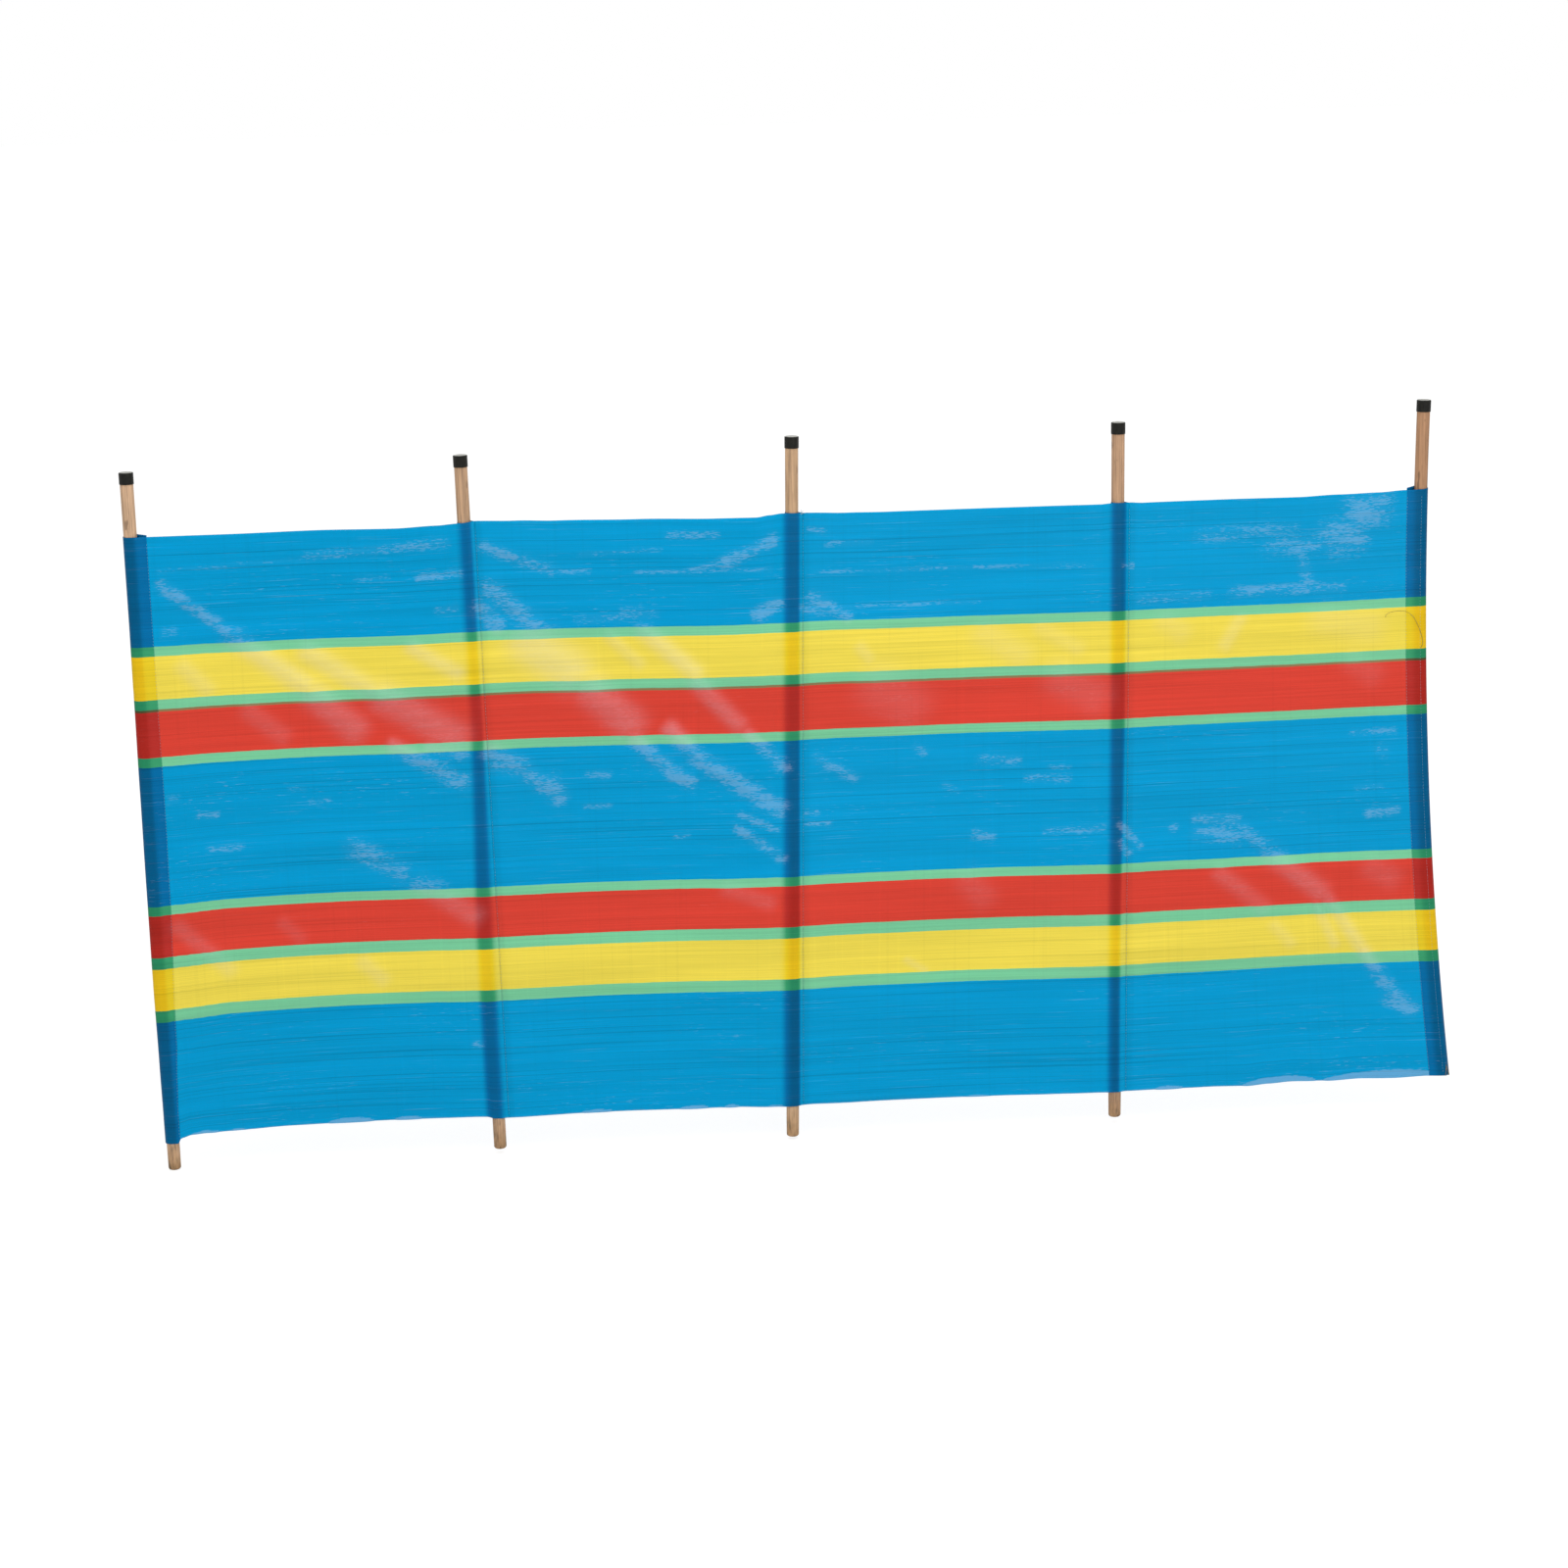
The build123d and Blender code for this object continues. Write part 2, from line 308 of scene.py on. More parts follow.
def folds(x, z):
    """How far the folds bring the cloth forward at x, z, and how strong their painted sheen is
    there.
    """
    forward, painted_sheen = np.zeros_like(x), np.zeros_like(x)
    for x0, z0, x1, z1, width, height, sheen_level in FOLDS:
        length = np.hypot(x1 - x0, z1 - z0)
        ux, uz = (x1 - x0) / length, (z1 - z0) / length
        along = (x - x0) * ux + (z - z0) * uz
        aside = (x - x0) * uz - (z - z0) * ux
        ends = ease(along / (2 * width) + 0.5) * ease((length - along) / (2 * width) + 0.5)
        forward += height * ends * np.exp(-((aside / width) ** 2))
        ridge = np.exp(-((np.abs(aside) / (width * SHEEN_WIDER)) ** SHEEN_EDGE))
        painted_sheen = np.maximum(painted_sheen, sheen_level * ends * ridge)
    return forward, painted_sheen


def curl(x, share):
    """How tall the curl of the bottom edge is at x, and how far into it a place is, from 0 to 1."""
    height = np.zeros_like(x)
    for start, end, tall in CURLS:
        aside = (x - (start + end) / 2) / ((end - start) / 2)
        arch = np.sqrt(np.clip(1 - aside**2, 0, 1))
        height = np.maximum(height, tall / 1000 * arch)
    return height, np.clip(1 - share * SHEET_HEIGHT / np.maximum(height, 1e-6), 0, 1)


def ripples(x, z):
    """Uneven waves, drawn out along the slant of the folds."""
    level = np.empty(x.size)
    for n, (a, b) in enumerate(zip(x.ravel(), z.ravel())):
        long = noise.noise(((a - b) * LONG_WAVES[0], (a + b) * LONG_WAVES[1], 0.3))
        fine = noise.noise((a * FINE_WAVES[0], b * FINE_WAVES[1], 4.1))
        level[n] = long + 0.5 * fine
    return level.reshape(x.shape) * RIPPLE


def noise_line(x, seed):
    """A soft random line along x, between about -1 and 1."""
    return np.array([noise.noise((v, seed, 0.5)) for v in np.ravel(x)]).reshape(np.shape(x))


print("curls:", len(CURLS), "tallest:", max(tall for start, end, tall in CURLS), "mm")

# %% [markdown]
# ## How the cloth passes a pole
#
# Seen from above, the sheet comes from the left, lies over the front of the pole and is stitched
# down just to its right. Behind it a loop of the same cloth goes round the pole. The two ends of
# the loop run on for a centimetre behind the sheet, which is the seam allowance. All these layers
# are thin, so their distances from the pole are set one after the other, from the wood outwards.

# %% Layers round a pole
# distances from a pole's middle: to the outer faces of the loop and of the sheet in front of it,
# to the stitches, back to the sheet's face there, and to where the sheet starts to wrap
LOOP_FACE = 0.01145
SHEET_FACE = 0.01192
SEAM_AT = 0.0170
SEAM_FACE = -0.0082
WRAP_FROM = -0.030
# how wide the sheet lies flat over the pole, and how far it falls back on its left side
FLAT_OVER = 0.004
LEFT_FALLS = 0.0026


def over_pole(offset):
    """y of the sheet's front face in front of a pole, at this offset from the pole's middle."""
    left = LEFT_FALLS * ease((-offset - FLAT_OVER) / -WRAP_FROM)
    right = (SHEET_FACE + SEAM_FACE) * ease((offset - FLAT_OVER) / (SEAM_AT - FLAT_OVER))
    return -SHEET_FACE + np.where(offset < 0, left, right)


wrap = np.linspace(WRAP_FROM, SEAM_AT, 6)
print("y of the sheet over a pole:", over_pole(wrap).round(4))

# %% [markdown]
# Between two poles the cloth comes free of both, bellies back and is creased. Its cut bottom edge
# has a small uneven lip, and where it curls it comes further forward.

# %% The open cloth
# how deep each bay hangs back, and the shares of its width over which it comes free of its poles
BELLY = [0.009, 0.011, 0.010, 0.012]
FREE_LEFT = 0.10
FREE_RIGHT = 0.12
BELLY_AT_EDGES = 0.65
LIP = 0.0012
LIP_SHARE = 0.008
CURL_FORWARD = 0.45


def open_cloth(bay, across, x, z, share):
    """y of the sheet's front face between two poles, at this share of the way across the bay."""
    end = over_pole(np.array(WRAP_FROM))
    start = SEAM_FACE if bay else end
    free = ease(across / FREE_LEFT) * ease((1 - across) / FREE_RIGHT)
    deepest = BELLY_AT_EDGES + (1 - BELLY_AT_EDGES) * np.sin(pi * share)
    belly = BELLY[bay] * np.sin(pi * across) * deepest
    tall, inside = curl(x, share)
    lip = LIP * np.exp(-((share / LIP_SHARE) ** 2)) * (1 + noise_line(x * 9, 7.7))
    lip += CURL_FORWARD * tall * inside**2
    hang = belly - folds(x, z)[0] - ripples(x, z)
    return start + (end - start) * ease(across) + free * hang - free * lip


print("belly of each bay:", BELLY)

# %% [markdown]
# ## A piece of cloth
#
# A flat grid is added, and its points are then laid where the cloth lies: the columns of the grid
# follow a path from one stitched line to the next, and its rows climb from the bottom edge to the
# top edge. The grid keeps a UV map in metres of flat cloth, so that the stripes and yarns are woven
# into it and follow every bend. Solidify then gives the cloth its thickness, on the inner side.
#
# Where the cloth is doubled, or has the pole close behind it, less light comes through. That is
# kept as painted shade, an attribute on the points: 0 for the open sheet, 1 for two layers, 2 for
# over the pole.
# A second one holds the painted sheen: a pale shine painted along the folds, strongest where the
# bottom edge curls forward.

# %% Helper for a piece of cloth
# The rows are close together at the bottom edge, where it curls, and 5 mm apart above it.
CURL_ENDS = 0.018
CURL_ROW = 0.002
OPEN_ROWS = 206
CLOTH = 0.00034
# how strong the painted sheen is on the curled bottom edge
CURL_SHEEN = 2.0

curl_rows = np.arange(0, CURL_ENDS, CURL_ROW)
row_heights = np.concatenate([curl_rows, np.linspace(CURL_ENDS, SHEET_HEIGHT, OPEN_ROWS)])
row_shares = row_heights / SHEET_HEIGHT


def lay_cloth(name, grid, thickness=CLOTH, bare=True):
    """A thin closed sheet from a grid: x, y, z, distance across the flat cloth, and backing."""
    x, y, z, across, backing = grid
    rows, columns = x.shape
    bpy.ops.object.select_all(action="DESELECT")
    bpy.ops.mesh.primitive_grid_add(x_subdivisions=columns - 1, y_subdivisions=rows - 1, size=1)
    piece = bpy.context.object
    piece.name = name
    flat = points_of(piece)
    column = np.rint((flat[:, 0] + 0.5) * (columns - 1)).astype(int)
    row = np.rint((flat[:, 1] + 0.5) * (rows - 1)).astype(int)
    piece.data.vertices.foreach_set("co", np.stack([x, y, z], 2)[row, column].ravel())
    corner = np.empty(len(piece.data.loops), int)
    piece.data.loops.foreach_get("vertex_index", corner)
    cloth_map = np.stack([across[column[corner]], row_shares[row[corner]] * SHEET_HEIGHT], 1)
    piece.data.uv_layers[0].name = "cloth"
    piece.data.uv_layers["cloth"].data.foreach_set("uv", cloth_map.ravel())
    # the folds carry a painted sheen, and the curled bottom edge the strongest painted sheen of all
    inside = curl(x, row_shares[:, None] + 0 * x)[1]
    turned = bare * ease(inside * 3) * (backing < 0.5)
    marks = {"backing": backing, "painted_sheen": np.maximum(folds(x, z)[1], CURL_SHEEN * turned)}
    for mark, level in marks.items():
        layer = piece.data.attributes.new(mark, "FLOAT", "POINT")
        layer.data.foreach_set("value", level[row, column].astype(np.float32))
    wall = piece.modifiers.new("thickness", "SOLIDIFY")
    wall.thickness = thickness
    wall.offset = -1
    bpy.ops.object.modifier_apply(modifier=wall.name)
    bpy.ops.object.shade_smooth()
    print(name, len(piece.data.polygons), "faces,", round(float(np.ptp(across)), 3), "m wide")
    return piece


print("rows:", len(row_shares))

# %% [markdown]
# ## The end hems
#
# At each end the sheet goes round the last pole and comes back behind itself to a row of stitches.
# The hem is 40 mm wide, except at the foot of the left one, where it has been pulled tight and is
# hardly wider than the pole. From the stitches the cloth runs straight to the back of the pole,
# touches it, and goes round it to the front.

# %% Helper for a hem
HEM_SEAM = 0.0277
HEM_SEAM_RIGHT = 0.0262
# height up the row, and there the seam's distance from the left pole, and how loose the hem is
HEM_TAPER = [
    (0.007, 0.0142), (0.097, 0.0145), (0.157, 0.0165), (0.227, 0.0200), (0.497, 0.0262),
    (0.607, HEM_SEAM),
]
HEM_LOOSE = [
    (0.047, 0.0010), (0.092, 0.0012), (0.192, 0.0019), (0.327, 0.0029), (0.497, 0.0026),
    (0.667, 0.0019), (0.837, 0.0009), (0.957, 0.0001), (1.107, 0.0001),
]
HEM_BEHIND = 2.6 * CLOTH
TAIL_STEPS = 8
ROUND_STEPS = 26


def to_round(seam, seam_y, radius, angle, shares):
    """Offsets and depths on the straight run from a seam to this angle on a round."""
    offset, depth = radius * cos(angle), radius * sin(angle)
    return seam + (offset - seam) * shares, seam_y + (depth - seam_y) * shares


def hem_path(seam, loose=0.0):
    """Offsets and depths of one row of a hem, from its seam round the pole to the front."""
    seam_y = float(over_pole(np.array(-seam))) + HEM_BEHIND
    touch = atan2(seam_y, seam) + acos(SHEET_FACE / np.hypot(seam, seam_y))
    shares = np.linspace(0, 1, TAIL_STEPS, endpoint=False)
    tail_a, tail_y = to_round(seam, seam_y, SHEET_FACE, touch, shares)
    turn = np.linspace(touch, 1.5 * pi, ROUND_STEPS)
    round_a = SHEET_FACE * np.cos(turn) + loose * np.minimum(np.cos(turn), 0)
    return np.append(tail_a, round_a), np.append(tail_y, SHEET_FACE * np.sin(turn))


example = hem_path(HEM_SEAM)[0]
print("hem path:", len(example), "columns from", example[0].round(4), "to", example[-1].round(4))

# %% [markdown]
# ## The four bays
#
# Each bay is one piece of cloth from a stitched line to the next one. It is cut only at the
# stitches, so that nothing parts where the sheet bends round a pole. The first bay starts with the
# left hem and the last one ends with the right hem.
#
# A bay is planned in stretches from left to right. Each stretch is a grid of x, y, backing, and
# how far the top edge is lifted there: the hems have ridden up a little behind their poles.

# %% The hems' stretches
# each row's share of the sheet's height, and its height beside a pole
SHARE = row_shares[:, None]
Z = SHEET_BOTTOM + SHARE * SHEET_HEIGHT
HEM_ENDS = 0.0345
OVER_HEM = np.array([0.12, 0.24, 0.36, 0.5, 0.64, 0.78, 0.9, 0.97])
PAST_HEM = np.array([0.04, 0.2, 0.45, 0.75])
LEFT_LIFT = 0.0028
RIGHT_LIFT = 0.0036
LIFT_COLUMNS = 12
# beside the end poles: where the pole's painted shade through the hem ends, and how softly it fades
LEFT_SHOWS = (0.0125, 0.008)
RIGHT_SHOWS = (0.020, 0.014)


def stretch(pole, offsets, y, backing=0.0, lift=0.0):
    """A stretch of cloth beside a pole: x, y, backing and lift, each on the full grid."""
    offsets = offsets + 0 * Z
    return [beside(pole, offsets, Z)] + [level + 0 * offsets for level in (y, backing, lift)]


def left_hem():
    """The first bay's cloth from its seam, round the first pole and over the hem."""
    seams = follow(HEM_TAPER, Z)
    paths = [hem_path(*row) for row in np.hstack([seams, follow(HEM_LOOSE, Z)])]
    offsets, y = np.array(paths).transpose(1, 0, 2)
    column = np.arange(TAIL_STEPS + ROUND_STEPS)
    lift = LEFT_LIFT * ease((TAIL_STEPS + LIFT_COLUMNS - column) / LIFT_COLUMNS)
    front = np.hstack([seams * OVER_HEM, seams + (HEM_ENDS - seams) * PAST_HEM])
    reach, fade = LEFT_SHOWS
    backing = (front < seams) * (1 + ease((reach - front) / fade))
    return [
        stretch(0, offsets, y, np.where(column < TAIL_STEPS, 1.0, 2.0), lift),
        stretch(0, front, over_pole(-front), backing),
    ]


def right_hem():
    """The last bay's cloth over the hem, round the last pole and back to its seam."""
    seam = HEM_SEAM_RIGHT
    front = np.append(-seam - (HEM_ENDS - seam) * PAST_HEM[::-1], -seam * OVER_HEM[::-1])
    reach, fade = RIGHT_SHOWS
    backing = (front > -seam) * (1 + ease((front + reach) / fade))
    offsets, y = hem_path(seam)
    column = np.arange(TAIL_STEPS + ROUND_STEPS)
    lift = RIGHT_LIFT * ease((column - ROUND_STEPS + LIFT_COLUMNS + 1) / LIFT_COLUMNS)
    return [
        stretch(4, front, over_pole(front), backing),
        stretch(4, -offsets[::-1], y[::-1], np.where(column >= ROUND_STEPS, 1.0, 2.0), lift),
    ]


for side, hem in (("left", left_hem()), ("right", right_hem())):
    print(side, "hem's stretches:", [part[0].shape for part in hem])

# %% [markdown]
# Over a pole between two bays there is no hem, but the pole makes a dark band through the cloth,
# which is painted in as shade. Its edges are soft and uneven, because the cloth stands off the pole
# in some places.

# %% Lay the four bays
FLAT_STEPS = 104
POLE_STEPS = 25
# how much painted shade the seam strip behind a bay's left side adds, and where it ends and fades
STRIP_BACKING = 0.10
STRIP_ENDS = 0.014
STRIP_FADES = 0.004
# the share of the height at which a band starts to change on its way up, and over how much of it
BAND_CHANGES_AT = 0.25
BAND_CHANGES_OVER = 0.45
# low down and high up: where the band starts, is full, starts to end and is gone, beside the
# pole's middle, and how strong it is
BANDS = {
    1: ((-0.026, -0.009, -0.002, 0.016, 1.55), (-0.016, 0.003, 0.006, 0.0160, 1.35)),
    2: ((-0.024, 0.001, 0.008, 0.0150, 2.05), (-0.021, -0.002, 0.007, 0.0160, 1.60)),
    3: ((-0.020, -0.002, 0.001, 0.0100, 1.75), (-0.019, -0.002, 0.006, 0.0175, 1.70)),
}


def band(pole, offset):
    """How dark the pole makes the cloth in front of it, at this offset, for each row."""
    low, high = BANDS[pole]
    change = ease((SHARE - BAND_CHANGES_AT) / BAND_CHANGES_OVER)
    start, full, wane, gone, strength = (p + (q - p) * change for p, q in zip(low, high))
    rise = ease((offset - start) / (full - start))
    return strength * rise * ease((gone - offset) / (gone - wane))


def open_stretch(bay):
    """The open cloth of a bay. A seam strip lies behind its left side, except in the first bay."""
    left = beside(bay, SEAM_AT if bay else HEM_ENDS, Z)
    right = beside(bay + 1, WRAP_FROM if bay < 3 else -HEM_ENDS, Z)
    across = np.linspace(0, 1, FLAT_STEPS) + 0 * Z
    x = left + across * (right - left)
    strip = STRIP_BACKING * ease((STRIP_ENDS - (x - left)) / STRIP_FADES) if bay else 0 * x
    return [x, open_cloth(bay, across, x, Z + 0 * x, SHARE + 0 * x), strip, 0 * x]


def run_along(a, b):
    """The distance run along a path at each of its points."""
    return np.append(0, np.cumsum(np.hypot(np.diff(a), np.diff(b))))


def bay_cloth(bay):
    """The grid of one bay."""
    parts = (left_hem() if bay == 0 else []) + [open_stretch(bay)]
    if bay < 3:
        offsets = np.linspace(WRAP_FROM, SEAM_AT, POLE_STEPS)[1:]
        parts.append(stretch(bay + 1, offsets, over_pole(offsets), band(bay + 1, offsets)))
    else:
        parts += right_hem()
    x, y, backing, lift = (np.hstack(part) for part in zip(*parts))
    middle = len(x) // 2
    return x, y, climb(x, SHARE) + lift * SHARE, run_along(x[middle], y[middle]), backing


bays = []
woven = 0.0
for bay in range(4):
    x, y, z, across, backing = bay_cloth(bay)
    bays.append(lay_cloth(f"cloth_bay_{bay + 1}", (x, y, z, across + woven, backing)))
    woven += across[-1]

# %% [markdown]
# ## The pocket loops
#
# Each loop starts behind the sheet at the end of the seam allowance, runs to the seam, goes back
# round the pole, comes forward between the pole and the sheet, and runs out along the allowance
# again. It is laid as one strip with the same helper.

# %% Lay the pocket loops
ALLOWANCE = 0.0100
LOOP_CLOTH = 0.0003
LOOP_STARTS = SEAM_AT - 0.0003
LOOP_SEAM_Y = SEAM_FACE + 0.0009
# how far the loop's two ends lie behind the sheet's front face
BEHIND_SHEET = (0.00118, 0.00042)
LOOP_STEPS = 40
RUN_STEPS = 6
# how much painted shade the loop takes where it lies on the pole
POLE_SHOWS = 0.8
ROUND_ENOUGH = 0.0005
# how far along the roll of cloth each loop is cut from the one before
CUT_APART = 0.6


def sheet_over(pole, offset):
    """y of the bay's front face just to the right of a pole's seam."""
    left, right = beside(pole, SEAM_AT, Z), beside(pole + 1, WRAP_FROM, Z)
    x = beside(pole, offset, Z)
    return open_cloth(pole, (x - left) / (right - left), x, Z + 0 * x, SHARE + 0 * x)


def loop_ring():
    """Offsets and depths of a loop from its seam, round the pole and back to the seam."""
    toward = atan2(LOOP_SEAM_Y, LOOP_STARTS)
    spread = acos(LOOP_FACE / np.hypot(LOOP_STARTS, LOOP_SEAM_Y))
    turn = np.linspace(toward + spread, toward - spread + 2 * pi, LOOP_STEPS)
    shares = np.linspace(0, 1, RUN_STEPS)[1:-1]
    back = to_round(LOOP_STARTS, LOOP_SEAM_Y, LOOP_FACE, turn[0], shares)
    fore = to_round(LOOP_STARTS, LOOP_SEAM_Y, LOOP_FACE, turn[-1], shares[::-1])
    ring = LOOP_FACE * np.cos(turn), LOOP_FACE * np.sin(turn)
    return np.hstack([back, ring, fore])


def loop_cloth(pole):
    """The grid of one pocket loop and its allowance."""
    run = np.linspace(SEAM_AT + ALLOWANCE, LOOP_STARTS, RUN_STEPS) + 0 * Z
    face = sheet_over(pole, run)
    ring_a, ring_y = loop_ring()
    behind, before = BEHIND_SHEET
    offsets = np.hstack([run, ring_a + 0 * Z, run[:, ::-1]])
    y = np.hstack([face + behind, ring_y + 0 * Z, (face + before)[:, ::-1]])
    on_pole = np.hypot(ring_a, ring_y) < LOOP_FACE + ROUND_ENOUGH
    backing = np.hstack([1.0 + 0 * run, 1.0 + POLE_SHOWS * on_pole + 0 * Z, 1.0 + 0 * run])
    x = beside(pole, offsets, Z)
    return x, y, climb(x, SHARE), run_along(offsets[0], y[0]) + pole * CUT_APART, backing


loops = []
for pole in (1, 2, 3):
    loops.append(lay_cloth(f"pocket_loop_{pole + 1}", loop_cloth(pole), LOOP_CLOTH, bare=False))

# %% [markdown]
# ## Stitches
#
# A lockstitch shows as a row of short threads, each about three millimetres long, that dip into
# the cloth at both ends. One is made from a thin cylinder, cut across and bent, and a copy of it
# is set at each place along the seams.

# %% One stitch
STITCH = 0.0028
THREAD = 0.0002
DIP = 0.0004
TAPER = 0.3
CUTS = (-0.3, 0.0, 0.3)

bpy.ops.object.select_all(action="DESELECT")
bpy.ops.mesh.primitive_cylinder_add(vertices=6, radius=THREAD, depth=STITCH, end_fill_type="TRIFAN")
stitch = bpy.context.object
stitch.name = "stitch_pattern"
bpy.ops.object.mode_set(mode="EDIT")
for share in CUTS:
    bpy.ops.mesh.select_all(action="SELECT")
    bpy.ops.mesh.bisect(plane_co=(0, 0, share * STITCH), plane_no=(0, 0, 1))
bpy.ops.object.mode_set(mode="OBJECT")
for point in stitch.data.vertices:
    end = abs(point.co.z) / (STITCH / 2)
    point.co.y += DIP * end**3
    point.co.x *= 1 - TAPER * end**3
print("stitch:", len(stitch.data.polygons), "faces")

# %% [markdown]
# The rows of stitches lie on the front of the sheet: one beside each pole between two bays, one
# along each hem's seam, and one more near the outer edge of the right hem. No row is quite even.

# %% Rows of stitches
STITCH_PITCH = 0.0052
ROW_MARGIN = 0.006
FROM_SEAM = 0.0012
STRAYS = 0.0004
LEANS = 0.12
SUNK = THREAD * 0.55


def copies(name, pattern, places):
    """One mesh of many copies of a pattern, each moved by its own matrix."""
    shape = np.hstack([points_of(pattern), np.ones((len(pattern.data.vertices), 1))])
    moved = np.concatenate([(shape @ np.array(m).T)[:, :3] for m in places])
    faces = [list(p.vertices) for p in pattern.data.polygons]
    all_faces = [[v + n * len(shape) for v in face] for n in range(len(places)) for face in faces]
    mesh = bpy.data.meshes.new(name)
    mesh.from_pydata(moved.tolist(), [], all_faces)
    mesh.shade_smooth()
    made = bpy.data.objects.new(name, mesh)
    bpy.context.scene.collection.objects.link(made)
    return made


def stitch_row(name, pole, offset_at, seed):
    """A row of stitches along a pole, at the offset for each height."""
    places = []
    for n in range(int((SHEET_HEIGHT - 2 * ROW_MARGIN) / STITCH_PITCH)):
        share = (ROW_MARGIN + (n + 0.5) * STITCH_PITCH) / SHEET_HEIGHT
        z = SHEET_BOTTOM + share * SHEET_HEIGHT
        at = offset_at(z)
        x = float(beside(pole, at + noise.noise((n * 0.37, seed, 0.0)) * STRAYS, z))
        y = float(over_pole(np.array(at if pole else -at))) - SUNK
        lean = float(slope_of(pole, z)) + noise.noise((n * 1.7, seed, 3.0)) * LEANS
        place = Matrix.Translation((x, y, float(climb(x, share))))
        places.append(place @ Matrix.Rotation(lean, 4, "Y"))
    return copies(name, stitch, places)


stitch_rows = [
    stitch_row(f"stitches_{pole + 1}", pole, lambda z: SEAM_AT + FROM_SEAM, pole * 5.1)
    for pole in (1, 2, 3)
]
stitch_rows += [
    stitch_row("stitches_left", 0, lambda z: float(follow(HEM_TAPER, z)) - FROM_SEAM, 31.0),
    stitch_row("stitches_right", 4, lambda z: -HEM_SEAM_RIGHT + FROM_SEAM, 47.0),
    stitch_row("stitches_edge", 4, lambda z: -FROM_SEAM, 53.0),
]
bpy.data.objects.remove(stitch)
print("rows of stitches:", [row.name for row in stitch_rows])

# %% [markdown]
# ## Loose threads
#
# An old windbreak frays. A loop of thread hangs out of the right hem, a tuft stands up at the
# middle pole, and some tapes have come loose at the lower right corner. Each is a NURBS path laid
# point by point, given a round section, and turned into a mesh.

# %% Helpers for threads
THREAD_BENDS = 5
SPARE_STEP = 0.0002


def thread(name, points, radius):
    """A thin thread along a smooth path through space."""
    bpy.ops.object.select_all(action="DESELECT")
    bpy.ops.curve.primitive_nurbs_path_add()
    made = bpy.context.object
    made.name = name
    spline = made.data.splines[0]
    # a new path has five points: more are added for a long thread, and a short thread's spare
    # ones stay close together at its tip
    spline.points.add(max(0, len(points) - len(spline.points)))
    while len(points) < len(spline.points):
        points = points + [tuple(p + SPARE_STEP for p in points[-1])]
    for point, place in zip(spline.points, points):
        point.co = (*place, 1)
    spline.order_u = 3
    spline.use_endpoint_u = True
    spline.resolution_u = THREAD_BENDS
    made.data.bevel_depth = radius
    made.data.bevel_resolution = 1
    made.data.use_fill_caps = True
    bpy.ops.object.convert(target="MESH")
    made = bpy.context.object
    made.name = name
    bpy.ops.object.shade_smooth()
    return made


def on_hem(offset, z, out):
    """A place this far out from the front of the right hem, or from its outer side."""
    round_side = -float(np.sqrt(max(SHEET_FACE**2 - offset**2, 0)))
    face = float(over_pole(np.array(offset))) if offset < 0 else round_side
    return (float(beside(4, offset, z)), face - out, z)


print("the right hem's front at its pole:", [round(c, 4) for c in on_hem(0.0, 0.5, 0.0)])

# %% Lay the threads
# offset beside the last pole, height, and distance from the cloth
LOOSE_LOOP = [
    (-0.0600, 0.8790, 0.001), (-0.0620, 0.8840, 0.002), (-0.0480, 0.8895, 0.003),
    (-0.0300, 0.8900, 0.003), (-0.0150, 0.8830, 0.002), (-0.0060, 0.8660, 0.001),
    (0.0020, 0.8450, 0.001), (0.0040, 0.8300, 0.001), (-0.0010, 0.8240, 0.0006),
]
# how far each end of the tuft reaches to the right and up
TUFT = [(0.004, 0.006), (0.008, 0.003), (0.001, 0.008)]
TUFT_BESIDE = 0.014
TUFT_Z = 1.0905
# offset of each frayed tape, height of its upper end, and how far it sways to the right
FRAYED = [(0.0105, 0.080, 0.0), (0.0080, 0.072, 0.001), (0.0045, 0.076, -0.002)]
FRAYED_BEND_Z = 0.0640
FRAYED_END_Z = 0.0555
# half the thickness of the sewing thread, of the tuft's strands and of the frayed tapes
YARN = 0.0003
STRAND = 0.0004
SLIT_TAPE = 0.0005

threads = [thread("thread_loop", [on_hem(*place) for place in LOOSE_LOOP], YARN)]
tuft_x = float(beside(2, TUFT_BESIDE, 1.090))
for n, (dx, dz) in enumerate(TUFT):
    base = (tuft_x + n * 0.0008, SEAM_FACE, TUFT_Z)
    middle = (tuft_x + dx * 0.4, SEAM_FACE - 0.001, TUFT_Z + dz * 0.7)
    tip = (tuft_x + dx, SEAM_FACE - 0.0016 - n * 0.0004, TUFT_Z + dz)
    threads.append(thread(f"tuft_{n + 1}", [base, middle, tip], STRAND))
for n, (offset, top, sway) in enumerate(FRAYED):
    start = on_hem(offset - sway, top, 0.0004)
    bend = on_hem(offset, FRAYED_BEND_Z, 0.0010)
    end = on_hem(offset + sway, FRAYED_END_Z, 0.0018)
    threads.append(thread(f"frayed_{n + 1}", [start, bend, end], SLIT_TAPE))
print("threads:", [t.name for t in threads])

# %% [markdown]
# ## The poles
#
# Each pole is a turned dowel. It starts as a cylinder as long as the wood. Its two ends are
# bevelled, it is cut across into short lengths, and its rings are then moved onto the pole's line,
# so that the bent pole bends. Real dowels aren't quite round, and their feet are knocked about, so
# the rings are given small uneven dents.

# %% Helpers for round pieces
END_TRIES = 4


def cylinder(name, vertices, radius, depth, middle):
    """A cylinder that stands on the origin's axis, with its middle at this height."""
    bpy.ops.object.select_all(action="DESELECT")
    bpy.ops.mesh.primitive_cylinder_add(
        vertices=vertices, radius=radius, depth=depth, location=(0, 0, middle)
    )
    bpy.context.object.name = name
    bpy.ops.object.transform_apply(location=True)
    return bpy.context.object


